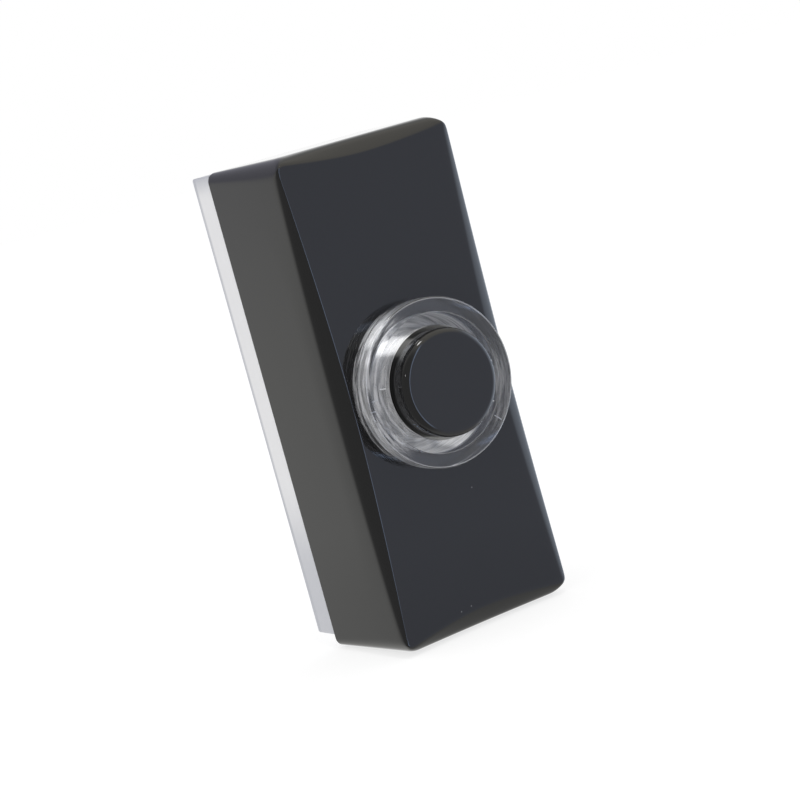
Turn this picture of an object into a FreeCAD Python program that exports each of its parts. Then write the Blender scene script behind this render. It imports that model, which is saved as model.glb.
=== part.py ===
import FreeCAD, Part
import math
import os
import Sketcher
from FreeCAD import Vector

# Lighted doorbell push button: a gloss black cover on a clear wall plate, with a clear
# collar round a sprung black button, and the switch, terminals and lamp inside.
# X runs across the cover, Z up its long side. The wall is the plane Y = 0 and the front
# faces -Y. Depths named "depth" are distances in front of the wall. Sizes are millimetres.

SIZES = [
    ("cover_width", 32.3, "cover across its open rim"),
    ("cover_height", 80.0, "cover along its open rim"),
    ("cover_depth", 22.6, "rim to front face"),
    ("cover_wall", 2.0, "side and end walls"),
    ("front_wall", 2.4, "front wall"),
    ("cover_draft", 0.35, "draft of the outer walls, degrees"),
    ("corner_radius", 1.6, "corners between side and end walls"),
    ("side_scoop_inset", 2.2, "long scoop, inset on the face at mid length"),
    ("side_scoop_drop", 2.7, "long scoop, drop down the wall at mid length"),
    ("side_scoop_round", 0.5, "long scoop, bulge of its section"),
    ("end_scoop_inset", 2.3, "short scoop, inset on the face at mid length"),
    ("end_scoop_drop", 2.0, "short scoop, drop down the wall at mid length"),
    ("end_scoop_round", 0.4, "short scoop, bulge of its section"),
    ("side_edge_inset", 0.15, "long scoop, inset at the corners"),
    ("end_edge_inset", 0.8, "short scoop, inset at the corners"),
    ("edge_drop", 1.55, "both scoops, drop at the corners"),
    ("side_edge_round", 0.05, "long scoop, bulge at the corners"),
    ("end_edge_round", 0.2, "short scoop, bulge at the corners"),
    ("base_depth", 5.8, "visible band of the wall plate"),
    ("base_gap", 0.25, "wall plate inside the outline of the cover"),
    ("foot_gap", 2.0, "bottom of the wall plate above the bottom of the cover"),
    ("base_floor", 2.2, "floor of the wall plate"),
    ("lip_height", 3.4, "lip inside the cover"),
    ("lip_gap", 0.15, "lip to the inside of the cover"),
    ("lip_wall", 1.4, "lip thickness"),
    ("snap_depth", 0.45, "snap ridge on the lip"),
    ("snap_length", 12.0, "snap ridge along X"),
    ("snap_back", 2.0, "back of the snap ridge behind the front of the lip"),
    ("snap_flat", 0.5, "flat top of the snap ridge"),
    ("snap_gap", 0.15, "play round the snap ridge"),
    ("aperture_radius", 11.2, "hole in the front of the cover"),
    ("collar_radius", 13.4, "clear collar, outside"),
    ("collar_height", 3.9, "clear collar, proud of the front face"),
    ("collar_land", 11.1, "radius where the collar steps down to the button"),
    ("collar_step", 0.3, "step down to the button"),
    ("collar_edge", 0.3, "bevelled outer edge of the collar"),
    ("tube_gap", 0.2, "light tube in the aperture"),
    ("tube_clear", 6.2, "end of the light tube in front of the carrier"),
    ("lug_reach", 0.9, "retaining lugs of the light tube"),
    ("lug_flat", 0.4, "flat side of the retaining lugs"),
    ("lug_width", 5.0, "retaining lugs across"),
    ("lug_length", 1.6, "retaining lugs along the tube"),
    ("seat_gap", 0.05, "small play between seated pieces"),
    ("well_radius", 13.1, "light well behind the front wall, inside"),
    ("well_wall", 0.8, "light well wall"),
    ("well_height", 4.0, "light well behind the front wall"),
    ("button_radius", 8.5, "push button"),
    ("button_gap", 0.35, "push button in the light tube"),
    ("button_height", 7.4, "top of the button, proud of the front face"),
    ("button_edge", 1.2, "rounded top edge of the button"),
    ("button_wall", 1.5, "skirt of the button"),
    ("button_roof", 1.8, "top wall of the button"),
    ("stop_reach", 1.8, "stop lugs outside the skirt"),
    ("stop_width", 7.0, "stop lugs across"),
    ("stop_thick", 1.2, "stop lugs along the skirt"),
    ("stop_gap", 0.1, "stop lugs behind the light tube at rest"),
    ("travel", 1.8, "travel of the button"),
    ("stem_radius", 1.6, "stem under the button"),
    ("stem_gap", 0.2, "stem to the moving contact at rest"),
    ("rib_thick", 1.2, "ribs inside the button"),
    ("carrier_depth", 11.7, "back of the switch carrier, in front of the wall"),
    ("carrier_thick", 1.5, "switch carrier"),
    ("carrier_gap", 0.3, "switch carrier inside the lip"),
    ("carrier_bottom", 13.3, "lower edge of the carrier below the middle"),
    ("carrier_top", 16.0, "upper edge of the carrier above the middle"),
    ("carrier_corner", 1.5, "corners of the carrier"),
    ("stem_play", 0.5, "stem in the hole of the carrier"),
    ("seat_wall", 0.9, "spring seat round the stem hole"),
    ("seat_height", 1.0, "spring seat height"),
    ("pillar_radius", 1.6, "pillars under the carrier"),
    ("pillar_inset", 2.2, "pillars inside the side walls of the tray"),
    ("pillar_low_inset", 2.3, "lower pillars inside the lower edge of the carrier"),
    ("pillar_high_inset", 2.5, "upper pillars inside the upper edge of the carrier"),
    ("screw_shank", 0.8, "carrier screws, shank radius"),
    ("screw_head", 1.8, "carrier screws, head radius"),
    ("screw_head_height", 1.2, "carrier screws, head"),
    ("screw_length", 6.0, "carrier screws, under the head"),
    ("screw_clear", 0.3, "carrier screws in the carrier"),
    ("slot_width", 0.7, "screwdriver slots"),
    ("slot_depth", 0.6, "screwdriver slots"),
    ("terminal_side", 5.5, "terminals from the middle"),
    ("terminal_drop", 19.0, "terminals below the middle"),
    ("boss_radius", 3.2, "terminal bosses"),
    ("boss_depth", 8.0, "top of the terminal bosses, in front of the wall"),
    ("insert_radius", 1.9, "threaded inserts, outside"),
    ("insert_bore", 1.25, "threaded inserts, inside"),
    ("insert_length", 5.0, "threaded inserts"),
    ("insert_groove", 0.3, "grip groove round the inserts"),
    ("terminal_shank", 1.2, "terminal screws, shank radius"),
    ("terminal_head", 2.7, "terminal screws, head radius"),
    ("terminal_head_height", 1.8, "terminal screws, head"),
    ("terminal_length", 5.4, "terminal screws, under the head"),
    ("terminal_hole", 1.6, "holes for the terminal screws"),
    ("washer_size", 6.0, "square clamp washers"),
    ("washer_thick", 0.8, "clamp washers"),
    ("washer_corner", 0.5, "cut corners of the clamp washers"),
    ("strip_thick", 0.4, "contact strips"),
    ("strip_bottom", 22.3, "lower end of the strips below the middle"),
    ("strip_left", 8.5, "left edge of the moving strip from the middle"),
    ("tongue_half", 2.2, "half width of the moving tongue"),
    ("tongue_top", 3.0, "upper end of the tongue above the middle"),
    ("tongue_depth", 10.2, "back of the tongue, in front of the wall"),
    ("tongue_start", 9.8, "top of the ramp below the middle"),
    ("ramp_start", 14.3, "bottom of the ramp below the middle"),
    ("tongue_root", 13.0, "where the tongue leaves the pad, below the middle"),
    ("fixed_inner", 3.2, "inner edge of the fixed strip from the middle"),
    ("fixed_outer", 7.8, "outer edge of the fixed strip from the middle"),
    ("fixed_neck", 5.7, "outer edge of its narrower run beside the tongue"),
    ("fixed_top", 12.0, "upper end of the fixed strip above the middle"),
    ("arm_half", 2.0, "half height of the arm under the tongue"),
    ("arm_reach", 1.8, "arm beyond the middle"),
    ("bump_radius", 0.9, "contact bump"),
    ("bump_height", 0.2, "contact bump"),
    ("post_radius", 1.5, "posts under the strips"),
    ("post_high", 10.0, "upper post above the middle"),
    ("post_root", 15.7, "post at the root of the tongue, below the middle"),
    ("spring_radius", 4.0, "return spring, middle of the wire"),
    ("spring_wire", 0.25, "return spring, wire radius"),
    ("spring_turns", 5.0, "return spring, turns"),
    ("spring_length", 9.2, "return spring at rest, seat to seat"),
    ("fixing_pitch", 58.0, "wall fixing holes, centre to centre"),
    ("fixing_radius", 2.1, "wall fixing holes"),
    ("fixing_boss", 5.4, "boss round the fixing holes"),
    ("fixing_raise", 1.6, "boss above the floor"),
    ("fixing_sink", 1.5, "countersink of the fixing holes"),
    ("cable_radius", 3.5, "cable entry"),
    ("cable_drop", 9.2, "cable entry below the middle"),
    ("lamp_rise", 10.4, "lamp above the middle"),
    ("lamp_radius", 1.5, "lamp body"),
    ("lamp_rim", 1.75, "lamp rim"),
    ("lamp_rim_height", 0.8, "lamp rim"),
    ("lamp_length", 5.4, "lamp with its rim"),
    ("lead_half", 0.25, "square leads of the lamp, half their side"),
    ("lead_radius", 0.25, "round leads of the resistor"),
    ("lead_side", 1.27, "lamp leads from the middle"),
    ("lead_depth", 10.2, "leads behind the carrier, in front of the wall"),
    ("lead_bend", 0.6, "bends of the leads"),
    ("lead_hole", 0.45, "lead holes in the carrier"),
    ("lead_gap", 0.02, "soldered ends to what they meet"),
    ("lead_foot", 0.7, "foot of the resistor lead below the ramp"),
    ("resistor_gap", 1.05, "resistor leads inside the pillars"),
    ("resistor_middle", 3.0, "middle of the resistor above the middle"),
    ("resistor_half", 3.15, "half length of the resistor"),
    ("resistor_radius", 1.15, "end caps of the resistor"),
    ("resistor_waist", 0.95, "waist of the resistor"),
    ("resistor_cap", 1.3, "length of the end caps"),
    ("resistor_edge", 0.35, "edges of the end caps"),
    ("resistor_slope", 0.2, "slope between caps and waist"),
]

CUT = 1.0        # how far a cutting shape stands outside what it cuts
ROOT = 0.5       # how far a raised shape reaches into what carries it
SCOOP_RUN = 1.5  # how far a scoop's section carries on past face and wall
SCOOP_OUT = 4.0  # outer edge of a scoop's section, clear of the cover
SCOOP_END = 0.5  # how far a scoop runs past the ends of the cover


class Size:
    """A length with the spreadsheet expression that it comes from."""

    def __init__(self, value, text):
        self.value = value
        self.text = text

    def __add__(self, other):
        other = as_size(other)
        return Size(self.value + other.value, "(%s + %s)" % (self.text, other.text))

    def __sub__(self, other):
        other = as_size(other)
        return Size(self.value - other.value, "(%s - %s)" % (self.text, other.text))

    def __rsub__(self, other):
        return as_size(other) - self

    def __mul__(self, factor):
        factor = as_size(factor)
        return Size(self.value * factor.value, "(%s * %s)" % (self.text, factor.text))

    __rmul__ = __mul__

    def __neg__(self):
        return Size(-self.value, "(-%s)" % self.text)


def as_size(number):
    return number if isinstance(number, Size) else Size(number, repr(number))


ZERO = Size(0.0, "0")


class Names:
    """The cells of the sheet, each under its alias."""


doc = FreeCAD.newDocument("doorbell_push")
sheet = doc.addObject("Spreadsheet::Sheet", "Sizes")
S = Names()
for row, (alias, number, note) in enumerate(SIZES, 1):
    sheet.set("A%d" % row, alias)
    sheet.set("B%d" % row, str(number))
    sheet.set("C%d" % row, note)
    sheet.setAlias("B%d" % row, alias)
    setattr(S, alias, Size(number, "Sizes." + alias))
doc.recompute()

# Sizes worked out from the cells
half_width = S.cover_width * 0.5
half_height = S.cover_height * 0.5
face_depth = S.base_depth + S.cover_depth
roof_depth = face_depth - S.front_wall
cavity_half = half_width - S.cover_wall
cavity_top = half_height - S.cover_wall
lip_half = cavity_half - S.lip_gap
lip_top = cavity_top - S.lip_gap
lip_depth = S.base_depth + S.lip_height
tray_half = lip_half - S.lip_wall
tray_top = lip_top - S.lip_wall
tube_radius = S.aperture_radius - S.tube_gap
carrier_front = S.carrier_depth + S.carrier_thick
tube_end = carrier_front + S.tube_clear
bore_radius = S.button_radius + S.button_gap
button_top = face_depth + S.button_height
button_roof = button_top - S.button_roof
skirt_end = tube_end - S.stop_gap - S.stop_thick
rib_end = carrier_front + S.spring_length
stem_end = S.tongue_depth + S.strip_thick + S.stem_gap
stem_hole = S.stem_radius + S.stem_play
strip_front = S.boss_depth + S.strip_thick
washer_front = strip_front + S.washer_thick
hole_radius = S.screw_shank + S.seat_gap
pillar_side = tray_half - S.pillar_inset
pillar_low = S.carrier_bottom - S.pillar_low_inset
pillar_high = S.carrier_top - S.pillar_high_inset
resistor_side = pillar_side - S.pillar_radius - S.resistor_gap - S.lead_radius
neck_middle = (S.fixed_inner + S.fixed_neck) * 0.5


def bind(obj, prop, size):
    """Set a property of an object to a size, and keep it bound to the sheet."""
    size = as_size(size)
    obj.setExpression(prop, size.text)


def new_body(label):
    body = doc.addObject("PartDesign::Body", label)
    body.Label = label
    return body


def origin_plane(body, role):
    for feature in body.Origin.OriginFeatures:
        if feature.Role == role:
            return feature
    raise ValueError("no plane " + role)


def new_sketch(body, name, role="XZ_Plane", offset=None):
    """A sketch on an origin plane. On XZ its y is Z and its offset is the depth in front of the wall."""
    made = body.newObject("Sketcher::SketchObject", name)
    made.AttachmentSupport = [(origin_plane(body, role), "")]
    made.MapMode = "FlatFace"
    if offset is not None:
        bind(made, "AttachmentOffset.Base.z", offset)
    return made


def fix_point(sketch, geometry, end, place):
    """Hold one end of a line, or a circle's centre (end 3), at a place given as two sizes."""
    for kind, size, axis in (("DistanceX", place[0], -2), ("DistanceY", place[1], -1)):
        if size is ZERO:
            sketch.addConstraint(Sketcher.Constraint("PointOnObject", geometry, end, axis))
        else:
            number = sketch.addConstraint(Sketcher.Constraint(kind, -1, 1, geometry, end, size.value))
            sketch.setExpression("Constraints[%d]" % number, size.text)


def polygon(sketch, corners):
    """Closed outline of straight lines through corners given as pairs of sizes."""
    corners = [(as_size(x), as_size(y)) for x, y in corners]
    places = [Vector(x.value, y.value, 0) for x, y in corners]
    lines = []
    for start, end in zip(places, places[1:] + places[:1]):
        lines.append(sketch.addGeometry(Part.LineSegment(start, end)))
    for line, following, corner in zip(lines, lines[1:] + lines[:1], corners):
        sketch.addConstraint(Sketcher.Constraint("Coincident", line, 2, following, 1))
        fix_point(sketch, line, 1, corner)


def rectangle(sketch, left, right, bottom, top):
    polygon(sketch, [(left, bottom), (right, bottom), (right, top), (left, top)])


def rounded_rectangle(sketch, half_x, half_z, radius):
    """Rectangle about the middle with an arc at each corner, joined to its sides."""
    lines, arcs = [], []
    for along, (sx, sz) in enumerate(((1, 1), (-1, 1), (-1, -1), (1, -1))):
        middle = Vector(sx * (half_x.value - radius.value), sz * (half_z.value - radius.value), 0)
        turn = math.pi / 2 * along
        ring = Part.Circle(middle, Vector(0, 0, 1), radius.value)
        arcs.append(sketch.addGeometry(Part.ArcOfCircle(ring, turn, turn + math.pi / 2)))
    inner_x, inner_z = half_x - radius, half_z - radius
    sides = (((inner_x, half_z), (-inner_x, half_z)), ((-half_x, inner_z), (-half_x, -inner_z)),
             ((-inner_x, -half_z), (inner_x, -half_z)), ((half_x, -inner_z), (half_x, inner_z)))
    for start, end in sides:
        places = [Vector(x.value, z.value, 0) for x, z in (start, end)]
        lines.append(sketch.addGeometry(Part.LineSegment(*places)))
        fix_point(sketch, lines[-1], 1, start)
        fix_point(sketch, lines[-1], 2, end)
    for corner, arc in enumerate(arcs):
        sketch.addConstraint(Sketcher.Constraint("Coincident", arc, 1, lines[corner - 1], 2))
        sketch.addConstraint(Sketcher.Constraint("Coincident", arc, 2, lines[corner], 1))
        number = sketch.addConstraint(Sketcher.Constraint("Radius", arc, radius.value))
        sketch.setExpression("Constraints[%d]" % number, radius.text)


def circle(sketch, across, up, radius):
    centre = Vector(across.value, up.value, 0)
    ring = sketch.addGeometry(Part.Circle(centre, Vector(0, 0, 1), radius.value))
    fix_point(sketch, ring, 3, (across, up))
    number = sketch.addConstraint(Sketcher.Constraint("Radius", ring, radius.value))
    sketch.setExpression("Constraints[%d]" % number, radius.text)


def circles(sketch, places, radius):
    for across, up in places:
        circle(sketch, across, up, radius)


def feature(body, kind, name, sketch, length=None, reverse=False, both=False):
    """Pad or Pocket of a sketch; both spreads it to both sides of the sketch."""
    made = body.newObject("PartDesign::" + kind, name)
    made.Profile = sketch
    if length is not None:
        bind(made, "Length", length)
    made.Reversed = reverse
    if both:
        made.SideType = "Symmetric"
    return made


def revolve(body, name, sketch):
    made = body.newObject("PartDesign::Revolution", name)
    made.Profile = sketch
    made.ReferenceAxis = (sketch, ["V_Axis"])
    made.Angle = 360
    return made


def mirror(body, name, originals, role):
    """Mirror features in an origin plane and make that the body's result."""
    made = body.newObject("PartDesign::Mirrored", name)
    made.Originals = originals
    made.MirrorPlane = (origin_plane(body, role), [""])
    body.Tip = made
    return made


def round_edges(body, name, base, wanted, radius, kind="Fillet"):
    """Fillet or chamfer the edges of a feature that pass a test."""
    doc.recompute()
    edges = ["Edge%d" % n for n, edge in enumerate(base.Shape.Edges, 1) if wanted(edge)]
    if not edges:
        raise ValueError("no edges for " + name)
    made = body.newObject("PartDesign::" + kind, name)
    made.Base = (base, edges)
    bind(made, "Radius" if kind == "Fillet" else "Size", radius)
    return made


def near(value, target, reach=0.01):
    return abs(value - target) < reach


def runs_deep(edge):
    """An edge that runs from front to back."""
    box = edge.BoundBox
    return box.YLength > 0.5 and box.XLength < 0.3 and box.ZLength < 0.3


def ring_at(depth, radius):
    """Test for a circular edge round the Y axis at a depth."""
    def test(edge):
        box = edge.BoundBox
        return box.YLength < 0.01 and near(box.YMin, -depth.value) and near(box.XMax, radius.value) \
            and near(box.XMin, -radius.value)
    return test


def disc(body, name, profile):
    """Turned piece about the Y axis, from corners given as radius and depth."""
    sketch = new_sketch(body, name + "_profile", "XY_Plane")
    polygon(sketch, [(radius, ZERO if depth is ZERO else -depth) for radius, depth in profile])
    return revolve(body, name, sketch)


def place(body, across=None, up=None):
    if across is not None:
        bind(body, "Placement.Base.x", across)
    if up is not None:
        bind(body, "Placement.Base.z", up)


def both_sides(size):
    return [(-size), size]


def scoop_section(inset, drop, bulge, half, place_point):
    """Closed section of a scoop: a smooth curve over the edge, closed outside the cover.
    It crosses the face at the inset and the wall at the drop, and bulges to the corner."""
    draft = math.tan(math.radians(S.cover_draft.value))
    on_face = Vector(inset, 0, 0)
    on_wall = Vector(-drop * draft, drop, 0)
    chord = on_wall - on_face
    across = Vector(-chord.y, chord.x, 0).normalize()
    middle = (on_face + on_wall) * 0.5 - across * bulge
    if middle.x + middle.y > (on_face.x + on_wall.y) * 0.5:
        middle = (on_face + on_wall) * 0.5 + across * bulge
    start_run = (on_face - middle + (on_face - on_wall) * 0.25).normalize() * SCOOP_RUN
    end_run = (on_wall - middle + (on_wall - on_face) * 0.02).normalize() * SCOOP_RUN
    start = on_face + start_run
    end = on_wall + end_run
    curve = Part.BSplineCurve()
    curve.interpolate([place_point(p, half) for p in (start, on_face, middle, on_wall, end)])
    outside = [end, Vector(-SCOOP_OUT, end.y, 0), Vector(-SCOOP_OUT, -SCOOP_OUT, 0),
               Vector(start.x, -SCOOP_OUT, 0), start]
    corners = [place_point(p, half) for p in outside]
    edges = [curve.toShape()]
    edges += [Part.LineSegment(a, b).toShape() for a, b in zip(corners, corners[1:])]
    return Part.Wire(edges)


def make_scoop(name, middle, corner, half, reach, place_at):
    """Loft from corner to middle to corner: a long shallow hollow along one front edge."""
    wires = []
    for along, shape in ((-reach, corner), (0.0, middle), (reach, corner)):
        wires.append(scoop_section(*shape, half, lambda p, h, a=along: place_at(p, h, a)))
    tool = doc.addObject("Part::Feature", name)
    tool.Shape = Part.makeLoft(wires, True, False)
    return tool


def make_scoops():
    """The four hollows round the front face, two along the sides and two along the ends."""
    shrink = S.cover_depth.value * math.tan(math.radians(S.cover_draft.value))
    face = face_depth.value
    side_middle = (S.side_scoop_inset.value, S.side_scoop_drop.value, S.side_scoop_round.value)
    side_corner = (S.side_edge_inset.value, S.edge_drop.value, S.side_edge_round.value)
    end_middle = (S.end_scoop_inset.value, S.end_scoop_drop.value, S.end_scoop_round.value)
    end_corner = (S.end_edge_inset.value, S.edge_drop.value, S.end_edge_round.value)
    side = make_scoop("scoop_left", side_middle, side_corner, half_width.value - shrink,
                      half_height.value + SCOOP_END, lambda p, h, a: Vector(p.x - h, p.y - face, a))
    end = make_scoop("scoop_top", end_middle, end_corner, half_height.value - shrink,
                     half_width.value + SCOOP_END, lambda p, h, a: Vector(a, p.y - face, h - p.x))
    tools = [side, end]
    twins = (("scoop_right", side, Vector(1, 0, 0)), ("scoop_bottom", end, Vector(0, 0, 1)))
    for name, source, normal in twins:
        twin = doc.addObject("Part::Mirroring", name)
        twin.Source = source
        twin.Normal = normal
        tools.append(twin)
    return tools


def make_cover():
    """Gloss moulded shell: drafted box, hollow from the back, round aperture and light well."""
    body = new_body("cover_shell")
    rim = new_sketch(body, "cover_rim", offset=S.base_depth)
    rounded_rectangle(rim, half_width, half_height, S.corner_radius)
    block = feature(body, "Pad", "cover_block", rim, S.cover_depth)
    bind(block, "TaperAngle", -S.cover_draft)
    hollow = new_sketch(body, "cover_hollow", offset=S.base_depth)
    rectangle(hollow, -cavity_half, cavity_half, -cavity_top, cavity_top)
    feature(body, "Pocket", "cover_cavity", hollow, S.cover_depth - S.front_wall, reverse=True)
    well = new_sketch(body, "light_well_ring", offset=roof_depth - S.well_height)
    circle(well, ZERO, ZERO, S.well_radius)
    circle(well, ZERO, ZERO, S.well_radius + S.well_wall)
    feature(body, "Pad", "light_well", well, S.well_height)
    hole = new_sketch(body, "aperture_circle", offset=roof_depth - CUT)
    circle(hole, ZERO, ZERO, S.aperture_radius)
    feature(body, "Pocket", "aperture", hole, S.front_wall + 2 * CUT, reverse=True)
    groove = new_sketch(body, "snap_groove_section", "YZ_Plane")
    snap_section(groove, cavity_top - CUT, cavity_top + S.snap_depth, S.snap_gap)
    cut = feature(body, "Pocket", "snap_groove", groove, S.snap_length + 2 * S.snap_gap, both=True)
    mirror(body, "snap_grooves", [cut], "XY_Plane")
    doc.recompute()
    scooped = body
    for tool in make_scoops():
        step = doc.addObject("Part::Cut", "cut_" + tool.Name)
        step.Base = scooped
        step.Tool = tool
        scooped = step
    scooped.Label = "cover"
    return scooped


def snap_section(sketch, inner, outer, play):
    """Section of the snap, seen from the side: square at the back, sloping off to the front."""
    back = lip_depth - S.snap_back - play
    front = back + S.snap_flat + 2 * play
    polygon(sketch, [(-back, inner), (-back, outer), (-front, outer), (-(front + (outer - inner)), inner)])


def make_back_plate():
    """Clear wall plate: tray with a lip, bosses, pillars and posts for what it carries."""
    body = new_body("back_plate")
    edge = half_width - S.base_gap
    outline = new_sketch(body, "plate_outline")
    rectangle(outline, -edge, edge, -(half_height - S.foot_gap), half_height - S.base_gap)
    block = feature(body, "Pad", "plate_block", outline, S.base_depth)
    round_edges(body, "plate_corners", block, runs_deep, S.corner_radius - S.base_gap)
    lip = new_sketch(body, "lip_outline", offset=S.base_depth - CUT)
    rectangle(lip, -lip_half, lip_half, -lip_top, lip_top)
    feature(body, "Pad", "lip", lip, S.lip_height + CUT)
    ridge = new_sketch(body, "snap_ridge_section", "YZ_Plane")
    snap_section(ridge, lip_top - ROOT, lip_top + S.snap_depth, as_size(0.0))
    snap = feature(body, "Pad", "snap_ridge", ridge, S.snap_length, both=True)
    mirror(body, "snap_ridges", [snap], "XY_Plane")
    tray = new_sketch(body, "tray_outline", offset=lip_depth + CUT)
    rectangle(tray, -tray_half, tray_half, -tray_top, tray_top)
    feature(body, "Pocket", "tray", tray, lip_depth + CUT - S.base_floor)

    def stand(name, places, radius, top):
        """Round stands on the floor of the tray, up to a depth."""
        sketch = new_sketch(body, name + "_circles", offset=S.base_floor - ROOT)
        circles(sketch, places, radius)
        feature(body, "Pad", name, sketch, top - S.base_floor + ROOT)

    def bore(name, places, radius, top, length):
        """Round holes from a depth down towards the wall."""
        sketch = new_sketch(body, name + "_circles", offset=top)
        circles(sketch, places, radius)
        feature(body, "Pocket", name, sketch, length)

    terminals = [(x, -S.terminal_drop) for x in both_sides(S.terminal_side)]
    pillars = [(x, z) for x in both_sides(pillar_side) for z in (-pillar_low, pillar_high)]
    fixings = [(ZERO, z) for z in both_sides(S.fixing_pitch * 0.5)]
    stand("terminal_bosses", terminals, S.boss_radius, S.boss_depth)
    stand("pillars", pillars, S.pillar_radius, S.carrier_depth)
    stand("strip_posts", [(neck_middle, ZERO), (neck_middle, S.post_high), (ZERO, -S.post_root)],
          S.post_radius, S.boss_depth)
    stand("fixing_bosses", fixings, S.fixing_boss, S.base_floor + S.fixing_raise)
    bore("insert_holes", terminals, S.insert_radius + S.seat_gap, S.boss_depth, S.insert_length)
    screws = [(-pillar_side, -pillar_low), (pillar_side, pillar_high)]
    bore("pilot_holes", screws, hole_radius, S.carrier_depth, S.screw_length)
    bore("cable_entry", [(ZERO, -S.cable_drop)], S.cable_radius, S.base_floor + CUT, S.base_floor + 2 * CUT)
    sunk = S.base_floor + S.fixing_raise
    bore("fixing_holes", fixings, S.fixing_radius, sunk + CUT, sunk + 2 * CUT)
    tip = body.Tip

    mouth = 2 * S.fixing_radius.value

    def boss_mouth(edge_):
        box = edge_.BoundBox
        return box.YLength < 0.01 and near(box.YMin, -sunk.value) and near(box.XLength, mouth)

    round_edges(body, "countersinks", tip, boss_mouth, S.fixing_sink, "Chamfer")
    return body


def make_lens_ring():
    """Clear collar with its light tube, held behind the front wall by two lugs."""
    body = new_body("lens_ring")
    top = face_depth + S.collar_height
    land = top - S.collar_step
    turned = disc(body, "collar", [
        (bore_radius, tube_end), (tube_radius, tube_end), (tube_radius, face_depth),
        (S.collar_radius, face_depth), (S.collar_radius, top), (S.collar_land, top),
        (S.collar_land, land), (bore_radius, land)])
    round_edges(body, "collar_rim", turned, ring_at(top, S.collar_radius), S.collar_edge, "Chamfer")
    lug_front = roof_depth - S.seat_gap
    section = new_sketch(body, "lug_section", "XY_Plane")
    lug_back = lug_front - S.lug_length
    root, tip = tube_radius - ROOT, tube_radius + S.lug_reach
    polygon(section, [(root, -lug_front), (root, -lug_back), (tube_radius, -lug_back),
                      (tip, -(lug_front - S.lug_flat)), (tip, -lug_front)])
    lug = feature(body, "Pad", "lug", section, S.lug_width, both=True)
    mirror(body, "lugs", [lug], "YZ_Plane")
    return body


def make_push_button():
    """Black cap with skirt, stem, spring ribs and two stop lugs behind the light tube."""
    body = new_body("push_button")
    inside = S.button_radius - S.button_wall
    turned = disc(body, "cap", [
        (ZERO, button_top), (S.button_radius, button_top), (S.button_radius, skirt_end),
        (inside, skirt_end), (inside, button_roof), (S.stem_radius, button_roof),
        (S.stem_radius, stem_end), (ZERO, stem_end)])
    round_edges(body, "cap_edge", turned, ring_at(button_top, S.button_radius), S.button_edge)
    reach = inside + ROOT
    half = S.rib_thick * 0.5
    for name, x, z in (("rib_across", reach, half), ("rib_along", half, reach)):
        sketch = new_sketch(body, name + "_outline", offset=rib_end)
        rectangle(sketch, -x, x, -z, z)
        feature(body, "Pad", name, sketch, button_roof - rib_end + ROOT)
    stop = new_sketch(body, "stop_outline", offset=skirt_end)
    rectangle(stop, inside + ROOT, S.button_radius + S.stop_reach, -(S.stop_width * 0.5), S.stop_width * 0.5)
    lug = feature(body, "Pad", "stop", stop, S.stop_thick)
    mirror(body, "stops", [lug], "YZ_Plane")
    return body


def make_return_spring():
    """Wire spring between the carrier and the ribs of the button, its wire given six sides."""
    body = new_body("return_spring")
    section = new_sketch(body, "wire_section", "XY_Plane")
    start = carrier_front + S.spring_wire + S.lead_gap
    turns = [math.pi / 3 * k for k in range(6)]
    polygon(section, [(S.spring_radius + S.spring_wire * math.sin(a), -(start + S.spring_wire * math.cos(a)))
                      for a in turns])
    coil = body.newObject("PartDesign::AdditiveHelix", "coil")
    coil.Profile = section
    coil.ReferenceAxis = (section, ["V_Axis"])
    coil.Mode = "height-turns-angle"
    bind(coil, "Height", S.spring_length - 2 * (S.spring_wire + S.lead_gap))
    bind(coil, "Turns", S.spring_turns)
    coil.Reversed = True
    return body


def make_switch_carrier():
    """White moulded plate on four pillars: spring seat, stem hole and lamp."""
    body = new_body("switch_carrier")
    side = tray_half - S.carrier_gap
    outline = new_sketch(body, "carrier_outline", offset=S.carrier_depth)
    rectangle(outline, -side, side, -S.carrier_bottom, S.carrier_top)
    plate = feature(body, "Pad", "carrier_plate", outline, S.carrier_thick)
    round_edges(body, "carrier_corners", plate, runs_deep, S.carrier_corner)
    seat = new_sketch(body, "seat_ring", offset=carrier_front - ROOT)
    circle(seat, ZERO, ZERO, stem_hole + S.seat_wall)
    feature(body, "Pad", "spring_seat", seat, S.seat_height + ROOT)
    holes = new_sketch(body, "carrier_holes_outline", offset=carrier_front + S.seat_height + CUT)
    circle(holes, ZERO, ZERO, stem_hole)
    circles(holes, [(x, S.lamp_rise) for x in both_sides(S.lead_side)], S.lead_hole)
    circles(holes, [(-pillar_side, -pillar_low), (pillar_side, pillar_high)],
            S.screw_shank + S.screw_clear)
    feature(body, "Pocket", "carrier_holes", holes, S.carrier_thick + S.seat_height + 2 * CUT)
    return body


def make_screw(label, across, up, under_head, shank, head, height, length):
    """Slotted pan head screw whose head stands on a depth."""
    body = new_body(label)
    turned = disc(body, label + "_turned", [
        (ZERO, under_head + height), (head, under_head + height), (head, under_head),
        (shank, under_head), (shank, under_head - length), (ZERO, under_head - length)])
    round_edges(body, label + "_crown", turned, ring_at(under_head + height, head), height * 0.5, "Chamfer")
    slot = new_sketch(body, label + "_slot_outline", offset=under_head + height)
    half = S.slot_width * 0.5
    rectangle(slot, -(head + CUT), head + CUT, -half, half)
    feature(body, "Pocket", label + "_slot", slot, S.slot_depth)
    place(body, across, up)
    return body


def make_carrier_screws():
    shape = (carrier_front, S.screw_shank, S.screw_head, S.screw_head_height, S.screw_length)
    make_screw("carrier_screw_lower", -pillar_side, -pillar_low, *shape)
    make_screw("carrier_screw_upper", pillar_side, pillar_high, *shape)


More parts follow.
